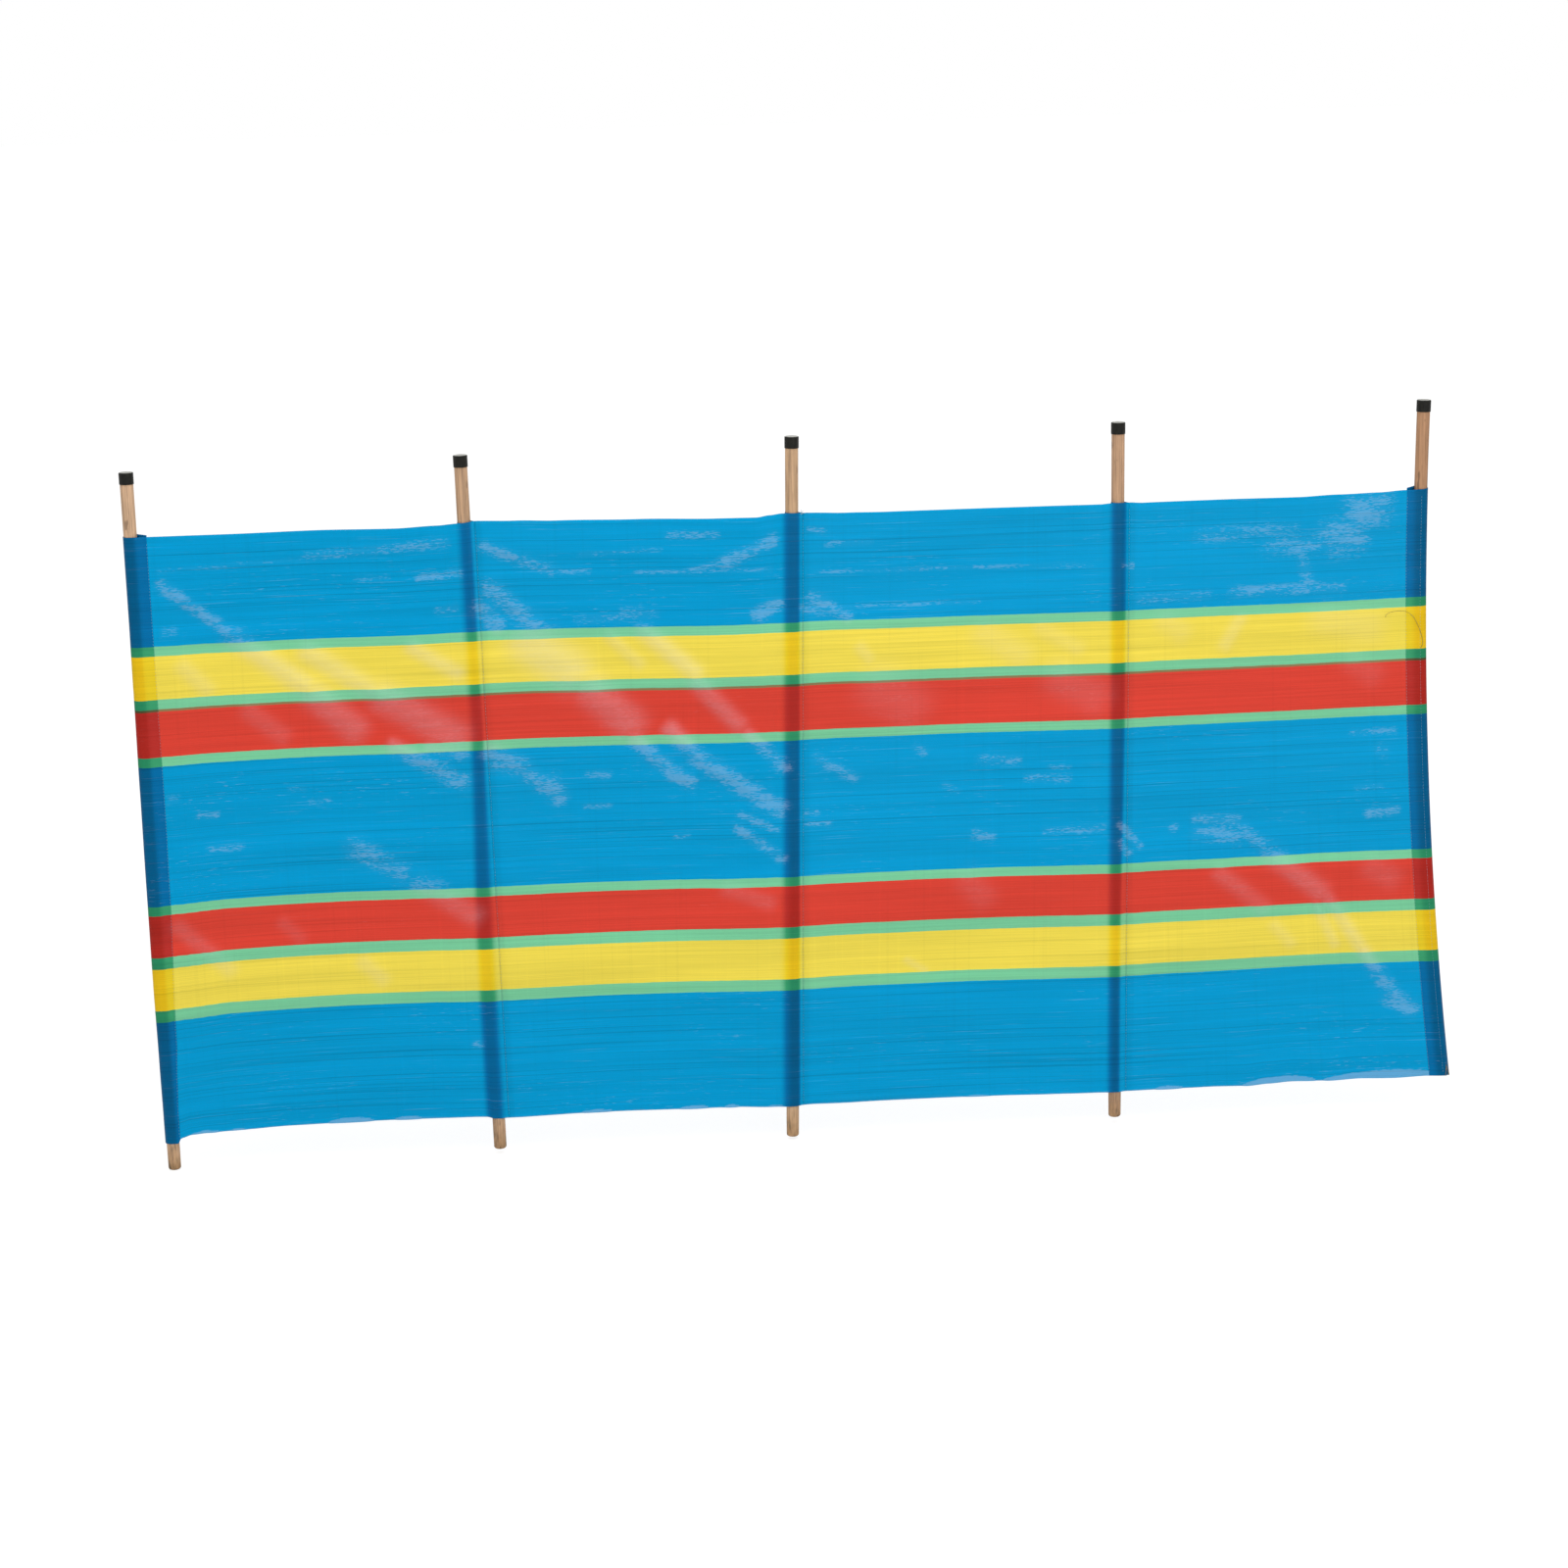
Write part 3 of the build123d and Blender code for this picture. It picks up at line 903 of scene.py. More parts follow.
def select(piece, kind, test):
    """Selects the faces or edges whose middle passes the test, and stays in edit mode."""
    bpy.ops.object.mode_set(mode="EDIT")
    bpy.ops.mesh.select_mode(type=kind)
    bpy.ops.mesh.select_all(action="DESELECT")
    bpy.ops.object.mode_set(mode="OBJECT")
    points = piece.data.vertices
    for part in piece.data.polygons if kind == "FACE" else piece.data.edges:
        middle = sum((points[v].co for v in part.vertices), Vector()) / len(part.vertices)
        reach = min(points[v].co.xy.length for v in part.vertices)
        part.select = bool(test(middle, reach))
    bpy.ops.object.mode_set(mode="EDIT")


def bevel(piece, test, offset, segments):
    """Bevels the edges whose middle passes the test."""
    select(piece, "EDGE", test)
    bpy.ops.mesh.bevel(offset=offset, segments=segments, affect="EDGES")
    bpy.ops.object.mode_set(mode="OBJECT")


def end_height(k, node, side):
    """Height of the middle of the lower (side -1) or upper (side 1) end of a pole or a cap."""
    points = points_of(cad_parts[f"{node}_{k + 1}"])
    z = points[:, 2].min() if side < 0 else points[:, 2].max()
    for _ in range(END_TRIES):
        slope = float(slope_of(k, z))
        norm = np.hypot(slope, 1)
        along = (points[:, 0] * slope + points[:, 2]) / norm
        reach = (along * side).max() * side
        z += (reach - (float(pole_x(k, z)) * slope + z) / norm) / norm
    return float(z)


feet = [end_height(k, "pole", -1) for k in range(POLES)]
tops = [end_height(k, "pole", 1) for k in range(POLES)]
print("wood from", [round(foot, 4) for foot in feet], "to", [round(top, 4) for top in tops])

# %% Turn the poles
POLE_RADIUS = 0.0110
POLE_SIDES = 40
FOOT_ROUNDING = 0.0036
FOOT_STEPS = 6
TOP_CHAMFER = 0.0008
CHAMFER_STEPS = 2
FOOT_RINGS = [0.008, 0.015]
RING_EVERY = 0.030
LAST_RING = 0.010
LINE_STEPS = 300
DENTS = 0.00012
# how much of the foot is worn away, the dents on it, and how far up that reaches
FOOT_WEAR = 0.0003
FOOT_DENTS = 0.0004
FOOT_WORN_TO = 0.03
TINY = 1e-5
SHARP_ON_WOOD = radians(40)


def turn_pole(k, length):
    """A straight dowel, cut into rings."""
    pole = cylinder(f"wood_pole_{k + 1}", POLE_SIDES, POLE_RADIUS, length, length / 2)
    bevel(pole, lambda middle, reach: middle.z < TINY, FOOT_ROUNDING, FOOT_STEPS)
    bevel(pole, lambda middle, reach: middle.z > length - TINY, TOP_CHAMFER, CHAMFER_STEPS)
    bpy.ops.object.mode_set(mode="EDIT")
    for height in FOOT_RINGS + list(np.arange(RING_EVERY, length - LAST_RING, RING_EVERY)):
        bpy.ops.mesh.select_all(action="SELECT")
        bpy.ops.mesh.bisect(plane_co=(0, 0, height), plane_no=(0, 0, 1))
    bpy.ops.object.mode_set(mode="OBJECT")
    return pole


def lay_on_line(k):
    """The wood of pole k, turned, dented and set on the pole's line."""
    z = np.linspace(feet[k], tops[k], LINE_STEPS)
    arc = run_along(pole_x(k, z), z)
    pole = turn_pole(k, arc[-1])
    places = points_of(pole)
    for place in places:
        x, y, along = place
        line_z = np.interp(along, arc, z)
        wear = noise.noise((x * 90, y * 90, along * 14 + k * 9)) * DENTS + DENTS
        foot = FOOT_WEAR + FOOT_DENTS * noise.noise((x * 150, y * 150, k * 3.3))
        wear += max(0.0, 1 - along / FOOT_WORN_TO) * foot
        x, y = x * (1 - wear / POLE_RADIUS), y * (1 - wear / POLE_RADIUS)
        slope = float(slope_of(k, line_z))
        norm = np.hypot(slope, 1)
        place[:] = (pole_x(k, line_z) + x / norm, y, line_z - x * slope / norm)
    pole.data.vertices.foreach_set("co", places.ravel())
    pole.data.update()
    bpy.ops.object.shade_smooth_by_angle(angle=SHARP_ON_WOOD)
    return pole


poles = [lay_on_line(k) for k in range(POLES)]
print("poles:", [len(pole.data.polygons) for pole in poles], "faces")

# %% [markdown]
# ## The caps
#
# A cap is a small moulded cup. It starts as a short cylinder with its top at zero height. Its
# lower face is inset by the wall's thickness and pushed up to make the bore that the wood fills.
# Its upper rim is bevelled round, and its top is inset twice and raised to a slight crown. Last,
# the sharp edge round the open end is taken off.

# %% Mould the caps
CAP_RADIUS = 0.0119
CAP_SIDES = 48
CAP_HEIGHT = 0.0195
CAP_WALL = 0.0008
CAP_CROWN = 0.0025
CAP_ROUNDING = 0.0017
ROUNDING_STEPS = 5
RIM_ROUNDING = 0.00025
RIM_STEPS = 2
# how far each ring of the crown lies inside the one before, and how far it is raised
CROWN_RINGS = [(0.0022, 0.00010), (0.0030, 0.00006)]
SHARP_ON_PLASTIC = radians(35)


def mould_cap(k):
    """A cap whose top is at zero height."""
    cap = cylinder(f"plastic_cap_{k + 1}", CAP_SIDES, CAP_RADIUS, CAP_HEIGHT, -CAP_HEIGHT / 2)
    select(cap, "FACE", lambda middle, reach: middle.z < -CAP_HEIGHT + TINY)
    bpy.ops.mesh.inset(thickness=CAP_WALL)
    bore = (0, 0, CAP_HEIGHT - CAP_CROWN)
    bpy.ops.mesh.extrude_region_move(TRANSFORM_OT_translate={"value": bore})
    bpy.ops.object.mode_set(mode="OBJECT")
    bevel(cap, lambda middle, reach: middle.z > -TINY, CAP_ROUNDING, ROUNDING_STEPS)
    select(cap, "FACE", lambda middle, reach: middle.z > -TINY)
    for step, rise in CROWN_RINGS:
        bpy.ops.mesh.inset(thickness=step)
        bpy.ops.transform.translate(value=(0, 0, rise))
    bpy.ops.object.mode_set(mode="OBJECT")
    low, outside = -CAP_HEIGHT + TINY, CAP_RADIUS - 10 * TINY
    bevel(cap, lambda middle, reach: middle.z < low and reach > outside, RIM_ROUNDING, RIM_STEPS)
    return cap


def push_on(cap, k):
    """Sets a cap on the end of pole k."""
    top = end_height(k, "cap", 1)
    cap.rotation_euler = (0, atan2(float(slope_of(k, top)), 1), 0)
    cap.location = (float(pole_x(k, top)), 0, top)
    bpy.ops.object.transform_apply(location=True, rotation=True)
    bpy.ops.object.shade_smooth_by_angle(angle=SHARP_ON_PLASTIC)
    return cap


caps = [push_on(mould_cap(k), k) for k in range(POLES)]
print("caps:", [len(cap.data.polygons) for cap in caps], "faces")

# %% [markdown]
# ## Helpers for materials
#
# The materials are long chains of small steps, so short helpers keep them readable: one adds a node
# and fills its sockets, and the others make the steps that come often. Colours are written as they
# look on a screen, from 0 to 255, and turned into the linear values that shaders use.

# %% Node helpers


def paint(red, green, blue):
    """A screen colour as a shader colour."""
    shares = [c / 255 for c in (red, green, blue)]
    return (*[((c + 0.055) / 1.055) ** 2.4 if c > 0.04045 else c / 12.92 for c in shares], 1)


def grey(level):
    """A shader colour with no hue."""
    return (level, level, level, 1)


def add(tree, kind, sockets=None, **settings):
    """A new node with its settings, and with values or links in its sockets."""
    node = tree.nodes.new("ShaderNode" + kind)
    for name, value in settings.items():
        setattr(node, name, value)
    for name, value in (sockets or {}).items():
        if isinstance(value, bpy.types.NodeSocket):
            tree.links.new(value, node.inputs[name])
        else:
            node.inputs[name].default_value = value
    return node


def calc(tree, operation, *values, clamp=False):
    """The result of a Math node."""
    node = add(tree, "Math", dict(enumerate(values)), operation=operation, use_clamp=clamp)
    return node.outputs[0]


def ramp(tree, amount, stops, interpolation="LINEAR"):
    """The result of a Color Ramp with the stops (position, colour)."""
    node = add(tree, "ValToRGB", {"Fac": amount})
    node.color_ramp.interpolation = interpolation
    while len(node.color_ramp.elements) < len(stops):
        node.color_ramp.elements.new(0.5)
    # all the places come before the colours, because the ramp sorts its stops when one moves
    for n, (position, colour) in enumerate(stops):
        node.color_ramp.elements[n].position = position
    for n, (position, colour) in enumerate(stops):
        node.color_ramp.elements[n].color = colour
    return node.outputs["Color"]


def levels(tree, amount, *stops):
    """The result of a Color Ramp in grey with the stops (position, level)."""
    return ramp(tree, amount, [(position, grey(level)) for position, level in stops])


def streaks(tree, vector, scale, detail=2.0, seed=0.0):
    """Noise on coordinates that are scaled apart first, which draws it out into streaks."""
    drawn = add(tree, "Mapping", {"Vector": vector, "Location": (seed, seed, seed), "Scale": scale})
    node = add(tree, "TexNoise", {"Vector": drawn.outputs[0], "Scale": 1.0, "Detail": detail})
    return node.outputs["Fac"]


def mix(tree, amount, low, high, blend_type="MIX"):
    """The result of mixing two colours."""
    node = add(tree, "Mix", {0: amount}, data_type="RGBA", blend_type=blend_type)
    for socket, value in ((6, low), (7, high)):
        if isinstance(value, bpy.types.NodeSocket):
            tree.links.new(value, node.inputs[socket])
        else:
            node.inputs[socket].default_value = value
    return node.outputs[2]


def mottled(tree, colour, amount, *stops):
    """The colour, made darker and lighter by a noise that is put through grey levels."""
    return mix(tree, 1.0, colour, levels(tree, amount, *stops), "MULTIPLY")


def empty_material(name):
    """A new material with nothing but its output, and its node tree."""
    material = bpy.data.materials.new(name)
    material.use_nodes = True
    material.node_tree.nodes.clear()
    output = material.node_tree.nodes.new("ShaderNodeOutputMaterial")
    return material, material.node_tree, output


def coat(tree, colour, rough, specular, height, strength, distance):
    """A surface with this colour, roughness and gloss, and the bump that raises its grain."""
    bump = add(tree, "Bump", {"Strength": strength, "Distance": distance, "Height": height})
    look = {"Base Color": colour, "Roughness": rough, "Specular IOR Level": specular}
    face = add(tree, "BsdfPrincipled", {**look, "Normal": bump.outputs[0]})
    return face.outputs[0], bump.outputs[0]


def give(pieces, material):
    """Each piece gets this material and no other."""
    for piece in pieces:
        piece.data.materials.clear()
        piece.data.materials.append(material)


print("a screen's middle grey, 128, is", round(paint(128, 128, 128)[0], 3), "in a shader")

# %% [markdown]
# ## The striped cloth
#
# The cloth is woven from flat glossy tapes of polyethylene, dyed before weaving. The stripes run
# along it, so their edges are as straight as the tapes. A ramp across the height gives each stripe.
# There are three such ramps: the open sheet with daylight behind it, and two of painted shade, for
# the doubled cloth and, darkest, where the pole stands behind. The `backing` attribute picks.
# Between a green stripe and a red one, one mixed tape shows as a thin dark join.

# %% Stripes
STRIPES = [
    (0.0, "blue"), (0.2028, "green"), (0.2210, "yellow"), (0.2920, "green"), (0.3092, "join"),
    (0.3105, "red"), (0.3790, "join"), (0.3802, "green"), (0.3950, "blue"), (0.6260, "green"),
    (0.6428, "join"), (0.6440, "red"), (0.7187, "join"), (0.7199, "green"), (0.7365, "yellow"),
    (0.8063, "green"), (0.8230, "blue"),
]
# each dye on the open sheet, then with painted shade for doubled cloth, and darker painted shade
# where the pole stands behind
DYES_AND_SHADES = {
    "blue": [(0, 161, 214), (0, 115, 174), (0, 95, 142)],
    "yellow": [(241, 222, 86), (240, 212, 44), (236, 196, 28)],
    "red": [(223, 71, 56), (192, 52, 46), (178, 42, 34)],
    "green": [(128, 209, 163), (64, 166, 116), (44, 144, 100)],
    "join": [(150, 128, 88), (96, 92, 62), (80, 78, 50)],
}
# how strongly the painted sheen shows as an even pale haze on each stripe; on blue only the painted
# glints and scuff marks turn pale
SOFTLY = {"blue": 0.0, "yellow": 0.25, "red": 0.15, "green": 0.17, "join": 0.15}


def by_stripe(tree, share, colour_of):
    """A colour for each stripe, with sharp edges between them."""
    return ramp(tree, share, [(at, colour_of(dye)) for at, dye in STRIPES], "CONSTANT")


def dyed_and_shaded(tree, share, backing):
    """The stripes, in the colours for how much is behind the cloth, darkened by painted shade."""
    doubled = calc(tree, "ADD", backing, 0.0, clamp=True)
    over = calc(tree, "SUBTRACT", backing, 1.0, clamp=True)
    layers = [by_stripe(tree, share, lambda dye: paint(*DYES_AND_SHADES[dye][layer])) for layer in range(3)]
    return mix(tree, over, mix(tree, doubled, layers[0], layers[1]), layers[2])


print("stripes:", len([dye for at, dye in STRIPES if dye != "join"]))

# %% [markdown]
# Over the stripes come the marks of the weave: fine lines along the tapes, a few darker ones,
# softly lighter and darker stretches, and faint crease lines up and down, painted in shade and
# light.
#
# Then come the painted glints and scuff marks. Where a sheen is painted, the tapes and larger
# patches break it up into glints, stray scuff marks lie in a few areas, and a few thin glints run on
# for longer.

# %% Marks on the cloth


def woven_marks(tree, flat, colour, blue):
    """The colour with the lines, dark threads and shades of the weave, and painted shade and light
    on crease lines.
    """
    lines = streaks(tree, flat, (3.5, 620, 1), 2.0, 1.3)
    colour = mottled(tree, colour, lines, (0.30, 0.92), (0.52, 1.0), (0.72, 1.06))
    dark = levels(tree, streaks(tree, flat, (0.9, 330, 1), 1.0, 5.1), (0.60, 0.0), (0.68, 0.20))
    dark = calc(tree, "MULTIPLY", dark, calc(tree, "MULTIPLY_ADD", blue, 0.65, 0.35))
    colour = mix(tree, dark, colour, grey(0.0))
    shade = streaks(tree, flat, (2.2, 36, 1), 3.0, 4.4)
    colour = mottled(tree, colour, shade, (0.30, 0.95), (0.70, 1.05))
    crease_shading = streaks(tree, flat, (190, 2.6, 1), 1.0, 9.7)
    return mottled(tree, colour, crease_shading, (0.30, 0.975), (0.35, 1.0), (0.66, 1.0), (0.72, 1.02))


def glints_and_scuffs(tree, flat, painted_sheen):
    """Painted glints where the sheen is broken up, with a few stray scuff marks and long thin
    glints.
    """
    yarns = streaks(tree, flat, (100, 560, 1), 2.0, 3.9)
    patches = streaks(tree, flat, (16, 80, 1), 3.0, 7.2)
    broken = calc(tree, "MULTIPLY_ADD", yarns, 3.6, -1.8)
    broken = calc(tree, "ADD", broken, calc(tree, "MULTIPLY_ADD", patches, 3.0, -1.5))
    broken = calc(tree, "MULTIPLY_ADD", painted_sheen, 0.85, broken)
    broken = levels(tree, broken, (0.40, 0.0), (0.78, 1.0))
    broken = calc(tree, "MULTIPLY", broken, calc(tree, "MULTIPLY", painted_sheen, 2.5, clamp=True))
    stray = levels(tree, streaks(tree, flat, (50, 560, 1), 2.0, 12.5), (0.64, 0.0), (0.76, 1.0))
    where = levels(tree, streaks(tree, flat, (4, 14, 1), 2.0, 2.2), (0.52, 0.05), (0.68, 1.0))
    broken = calc(tree, "MAXIMUM", broken, calc(tree, "MULTIPLY", stray, where))
    thin = levels(tree, streaks(tree, flat, (7, 480, 1), 2.0, 15.1), (0.66, 0.0), (0.74, 0.6))
    thin = calc(tree, "MULTIPLY", thin, calc(tree, "MULTIPLY", yarns, 1.4))
    return calc(tree, "MAXIMUM", broken, thin)


def paleness(tree, share, blue, painted_sheen, broken):
    """How pale the cloth is painted: mostly glints and scuff marks on blue, mostly an even painted
    sheen on the others.
    """
    on_blue = calc(tree, "MULTIPLY_ADD", broken, 0.115, calc(tree, "MULTIPLY", painted_sheen, 0.02))
    haze = calc(tree, "MULTIPLY", painted_sheen, by_stripe(tree, share, lambda dye: grey(SOFTLY[dye])))
    on_others = calc(tree, "MULTIPLY_ADD", broken, 0.03, haze)
    return add(tree, "Mix", {0: blue, 2: on_others, 3: on_blue}).outputs[0]


print("rubbed stripes turn pale by:", SOFTLY)

# %% [markdown]
# The weave is raised a little by a bump, which breaks the shine into short lines, and some light
# passes through the cloth.

# %% The cloth's material
TAPE = 0.0026
GLOSS_ROUGHNESS = 0.34
SHINE = 0.05
THROUGH = 0.22
RAGGED = 0.0014


def weave_height(tree, flat, along, up):
    """How far the crossing tapes stand up."""
    tape = 2 * pi / TAPE
    weft = calc(tree, "SINE", calc(tree, "MULTIPLY", up, tape))
    warp = calc(tree, "SINE", calc(tree, "MULTIPLY", along, tape))
    slack = streaks(tree, flat, (24, 420, 1), 2.0, 8.8)
    return calc(tree, "MULTIPLY_ADD", slack, 2.2, calc(tree, "MULTIPLY", weft, warp))


def cloth_material(name):
    """Woven striped tape cloth."""
    material, tree, output = empty_material(name)
    flat = add(tree, "UVMap", uv_map="cloth").outputs[0]
    along, up = add(tree, "SeparateXYZ", {0: flat}).outputs[:2]
    stray = streaks(tree, flat, (40, 6, 1), 3.0)
    stray = calc(tree, "MULTIPLY_ADD", stray, RAGGED, -RAGGED / 2)
    share = calc(tree, "DIVIDE", calc(tree, "ADD", up, stray), SHEET_HEIGHT)
    backing = add(tree, "Attribute", attribute_name="backing").outputs["Fac"]
    painted_sheen = add(tree, "Attribute", attribute_name="painted_sheen").outputs["Fac"]
    blue = by_stripe(tree, share, lambda dye: grey(float(dye == "blue")))
    colour = woven_marks(tree, flat, dyed_and_shaded(tree, share, backing), blue)
    pale = paleness(tree, share, blue, painted_sheen, glints_and_scuffs(tree, flat, painted_sheen))
    # the painted sheen, glints and scuff marks turn the colour pale towards this lilac white
    colour = mix(tree, pale, colour, paint(236, 240, 252))
    rough = streaks(tree, flat, (30, 260, 1), 2.0, 6.4)
    rough = calc(tree, "MULTIPLY_ADD", rough, 0.24, GLOSS_ROUGHNESS - 0.12)
    weave = weave_height(tree, flat, along, up)
    face, normal = coat(tree, colour, rough, SHINE, weave, 0.35, 0.00016)
    glow = add(tree, "BsdfTranslucent", {"Color": colour, "Normal": normal}).outputs[0]
    both = add(tree, "MixShader", {0: THROUGH, 1: face, 2: glow})
    tree.links.new(both.outputs[0], output.inputs["Surface"])
    return material


striped_cloth = cloth_material("striped_tape_cloth")
give(bays + loops, striped_cloth)
print("cloth nodes:", len(striped_cloth.node_tree.nodes))

# %% [markdown]
# ## Wood
#
# The dowels are bare softwood that has gone pinkish and a little grey. The grain runs along the
# pole, so the noise is drawn out along its height. Below the sheet the wood has stood in wet sand:
# it is browner, with green and dark stains and a few open cracks. No two poles are quite alike, so
# each is given its own tint.

# %% Wood materials
WOOD_TINTS = [(206, 169, 135), (181, 146, 114), (194, 158, 122), (181, 144, 113), (167, 126, 93)]
# the stain's patches, from dark to pale, and an open crack
STAINS = [(0.36, (86, 72, 42)), (0.50, (144, 110, 73)), (0.66, (170, 132, 92))]
CRACK = (66, 52, 38)
# heights below which the wood is wet all round, and above which it is dry
WET = 0.022
DRY = 0.082
# how much darker and lighter than the tint the grain is
DARK_GRAIN = 0.76
PALE_GRAIN = 1.07


def stained(tree, place, seed, colour):
    """The colour with the stains and cracks of a foot that has stood in wet sand."""
    height = add(tree, "SeparateXYZ", {0: place}).outputs[2]
    ragged = streaks(tree, place, (120, 120, 30), 3.0, seed + 1.7)
    wet = calc(tree, "MULTIPLY_ADD", ragged, 0.05, height)
    wet = levels(tree, wet, (WET, 1.0), (DRY, 0.0))
    stain = streaks(tree, place, (160, 160, 55), 3.0, seed + 5.5)
    stain = ramp(tree, stain, [(at, paint(*patch)) for at, patch in STAINS])
    colour = mix(tree, calc(tree, "MULTIPLY", wet, 0.92), colour, stain)
    cracks = streaks(tree, place, (340, 340, 30), 2.0, seed + 8.2)
    cracks = levels(tree, cracks, (0.35, 1.0), (0.40, 0.0))
    return mix(tree, calc(tree, "MULTIPLY", cracks, wet), colour, paint(*CRACK))


def wood_material(name, tint, seed):
    """Bare greyed wood of this tint."""
    material, tree, output = empty_material(name)
    place = add(tree, "TexCoord").outputs["Object"]
    grain = streaks(tree, place, (420, 420, 5), 4.0, seed)
    darker = paint(*[c * DARK_GRAIN for c in tint])
    lighter = paint(*[min(255, c * PALE_GRAIN) for c in tint])
    colour = ramp(tree, grain, [(0.30, darker), (0.50, paint(*tint)), (0.70, lighter)])
    knots = streaks(tree, place, (130, 130, 40), 1.0, seed + 2.6)
    colour = mottled(tree, colour, knots, (0.68, 1.0), (0.74, 0.55))
    flecks = streaks(tree, place, (900, 900, 34), 2.0, seed + 3.1)
    colour = mottled(tree, colour, flecks, (0.60, 1.0), (0.70, 0.72))
    cloudy = streaks(tree, place, (60, 60, 14), 3.0, seed + 7.7)
    colour = mottled(tree, colour, cloudy, (0.35, 0.86), (0.65, 1.06))
    rough = calc(tree, "MULTIPLY_ADD", grain, 0.20, 0.52)
    wood, _ = coat(tree, stained(tree, place, seed, colour), rough, 0.3, grain, 0.5, 0.0002)
    tree.links.new(wood, output.inputs["Surface"])
    return material


for k, pole in enumerate(poles):
    give([pole], wood_material(f"dowel_wood_{k + 1}", WOOD_TINTS[k], k * 13.7))
print("wood tints:", len(WOOD_TINTS))

# %% [markdown]
# ## Cap plastic and thread
#
# The caps are black moulded plastic with a fine grain and a soft shine, paler on what faces up.
# The sewing thread is a pale twisted yarn, and on each row it has taken on the dirt of the beach.

# %% Plastic and thread materials


def plastic_material(name):
    """Black moulded plastic, mottled, and paler on what faces up."""
    material, tree, output = empty_material(name)
    place = add(tree, "TexCoord").outputs["Object"]
    cap_mottle = streaks(tree, place, (260, 260, 140), 3.0, 2.4)
    colour = ramp(tree, cap_mottle, [(0.35, paint(12, 12, 9)), (0.70, paint(27, 27, 21))])
    facing = add(tree, "NewGeometry").outputs["Normal"]
    upward = add(tree, "SeparateXYZ", {0: facing}).outputs[2]
    faces_up = levels(tree, upward, (0.80, 0.0), (0.97, 0.85))
    top_pale = ramp(tree, cap_mottle, [(0.40, paint(150, 150, 144)), (0.62, paint(182, 182, 176))])
    colour = mix(tree, faces_up, colour, top_pale)
    rough = calc(tree, "MULTIPLY_ADD", cap_mottle, 0.25, 0.42)
    grain = add(tree, "TexNoise", {"Vector": place, "Scale": 2600.0, "Detail": 2.0}).outputs["Fac"]
    plastic, _ = coat(tree, colour, rough, 0.18, grain, 0.25, 0.0001)
    tree.links.new(plastic, output.inputs["Surface"])
    return material


def thread_material(name, low, high):
    """Twisted yarn in two shades."""
    material, tree, output = empty_material(name)
    place = add(tree, "TexCoord").outputs["Object"]
    twist = streaks(tree, place, (900, 900, 500), 2.0, 1.1)
    colour = ramp(tree, twist, [(0.35, paint(*low)), (0.65, paint(*high))])
    rough = calc(tree, "MULTIPLY_ADD", twist, 0.2, 0.5)
    yarn, _ = coat(tree, colour, rough, 0.3, twist, 0.4, 0.0001)
    tree.links.new(yarn, output.inputs["Surface"])
    return material


give(caps, plastic_material("black_cap_plastic"))
seam_thread = thread_material("seam_thread", (96, 146, 160), (140, 184, 190))
edge_thread = thread_material("pale_thread", (92, 142, 168), (150, 186, 198))
frayed_tape = thread_material("dirty_frayed_tape", (70, 66, 44), (150, 132, 92))
for piece in stitch_rows + threads:
    pale = piece.name == "stitches_edge" or piece.name.startswith("tuft")
    dirty = piece.name == "thread_loop" or piece.name.startswith("frayed")
    give([piece], edge_thread if pale else frayed_tape if dirty else seam_thread)
print("materials:", len(bpy.data.materials))

# %% [markdown]
# ## What moves with what
#
# The windbreak folds at its three inner poles. Each stiff piece rides on its own bay, and so does
# the last bay's cloth. The other bays and the pocket loops only have their transforms baked into
# their meshes.

# %% Riding and replacing
POLE_BODIES = ["first_bay", "second_bay", "second_bay", "third_bay", "fourth_bay"]
ROW_BODIES = ["second_bay", "third_bay", "fourth_bay", "first_bay", "fourth_bay", "fourth_bay"]


def blend_round(piece):
    """Bakes the piece's transform into its mesh."""
    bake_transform(piece)


for n, bay in enumerate(bays[:3]):
    blend_round(bay)
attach(bays[3], "fourth_bay")
for n, loop in enumerate(loops):
    blend_round(loop)
for k in range(POLES):
    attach(poles[k], POLE_BODIES[k])
    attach(caps[k], POLE_BODIES[k])
    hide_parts(f"pole_{k + 1}")
    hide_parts(f"cap_{k + 1}")
for row, body in zip(stitch_rows, ROW_BODIES):
    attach(row, body)
for piece in threads:
    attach(piece, "third_bay" if piece.name.startswith("tuft") else "fourth_bay")
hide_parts("bay_sheet_1", "end_hem_left")
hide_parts("bay_sheet_2")
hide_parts("bay_sheet_3")
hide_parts("bay_sheet_4", "end_hem_right")
for n, loop in enumerate(loops):
    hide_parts(f"pole_pocket_{n + 2}", f"pocket_seam_{n + 2}")

# %% [markdown]
# ## Cut sizes
#
# The width that each piece of cloth was cut to is read from its UV map and printed.


def cut_width(piece):
    """How wide a piece's flat cloth is, from its UV map."""
    flat = np.empty(len(piece.data.loops) * 2)
    piece.data.uv_layers["cloth"].data.foreach_get("uv", flat)
    return float(np.ptp(flat[::2]))


for n, bay in enumerate(bays):
    cut_width(bay)
for n, loop in enumerate(loops):
    cut_width(loop)
print("flat widths:", [round(cut_width(piece), 3) for piece in bays + loops])

# %% [markdown]
# ## Light and floor
#
# The windbreak stands in even white light. The world gives most of it, from all sides. A large
# soft lamp overhead lights the floor, and a broad one low at the right front shines along the
# folds. The floor is white; it shows brighter to the camera than it lights the cloth, and it keeps
# the soft shadow.

# %% Lamps
TOP_WATTS = 70
KEY_WATTS = 28


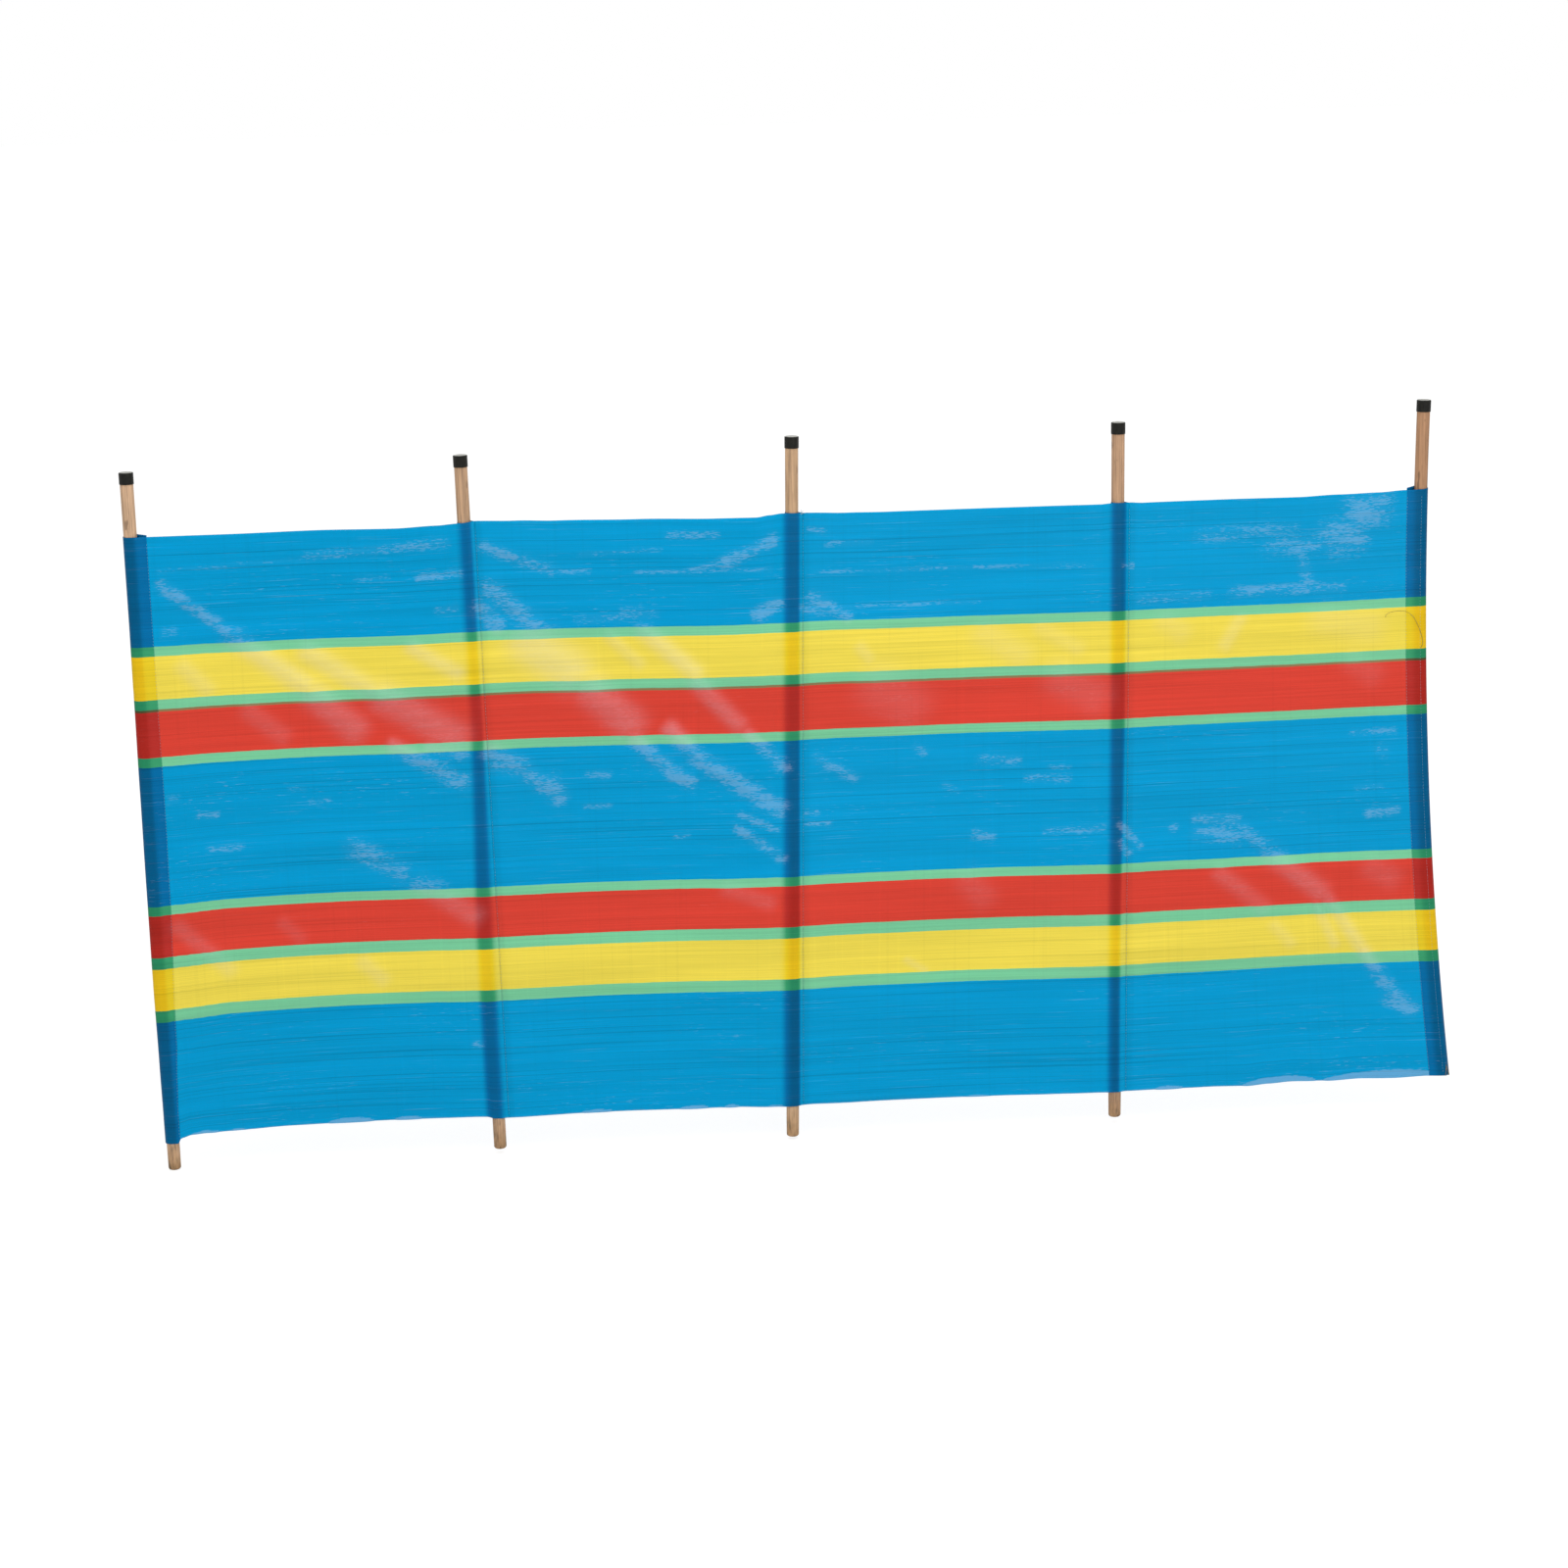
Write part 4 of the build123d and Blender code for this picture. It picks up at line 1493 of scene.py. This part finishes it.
def lamp(name, place, target, size, watts):
    """A square lamp that points at a target."""
    bpy.ops.object.light_add(type="AREA", location=place)
    made = bpy.context.object
    made.name = name
    made.rotation_euler = (Vector(target) - Vector(place)).to_track_quat("-Z", "Y").to_euler()
    made.data.size = size
    made.data.energy = watts


lamp("lamp_overhead", (0, -1.2, 4.2), (0, 0.2, 0), 4.0, TOP_WATTS)
lamp("lamp_right_front", (1.5, -4.6, 0.75), (0, 0, 0.6), 1.1, KEY_WATTS)
print("lamps:", TOP_WATTS, "W overhead and", KEY_WATTS, "W at the right front")

# %% World and floor
WORLD_LIGHT = 0.84
FLOOR_Z = -0.0058
FLOOR_WHITE = 0.86
FLOOR_SHOWN = 1.24
FLOOR_SHARE = 0.60

world = bpy.context.scene.world or bpy.data.worlds.new("world")
bpy.context.scene.world = world
world.use_nodes = True
sky_tree = world.node_tree
sky_tree.nodes.clear()
bright = WORLD_LIGHT
rays = add(sky_tree, "LightPath").outputs
for kind in ("Is Camera Ray", "Is Glossy Ray", "Is Transmission Ray"):
    bright = calc(sky_tree, "MAXIMUM", rays[kind], bright)
sky = add(sky_tree, "Background", {"Color": grey(1.0), "Strength": bright})
sky_tree.links.new(sky.outputs[0], add(sky_tree, "OutputWorld").inputs["Surface"])

bpy.ops.object.select_all(action="DESELECT")
bpy.ops.mesh.primitive_plane_add(size=60, location=(0, 20, FLOOR_Z))
floor = bpy.context.object
floor.name = "floor"
floor_white, tree, output = empty_material("floor_white")
rays = add(tree, "LightPath").outputs
matt = add(tree, "BsdfPrincipled", {"Base Color": grey(FLOOR_WHITE), "Roughness": 0.9})
lit = add(tree, "Emission", {"Color": grey(1.0), "Strength": FLOOR_SHOWN})
shown = calc(tree, "MAXIMUM", rays["Is Camera Ray"], rays["Is Glossy Ray"])
shown = calc(tree, "MULTIPLY", shown, FLOOR_SHARE)
mixed = add(tree, "MixShader", {0: shown, 1: matt.outputs[0], 2: lit.outputs[0]})
tree.links.new(mixed.outputs[0], output.inputs["Surface"])
give([floor], floor_white)
bpy.context.scene.view_settings.view_transform = "Standard"
print("floor at", FLOOR_Z, "and world light", WORLD_LIGHT)
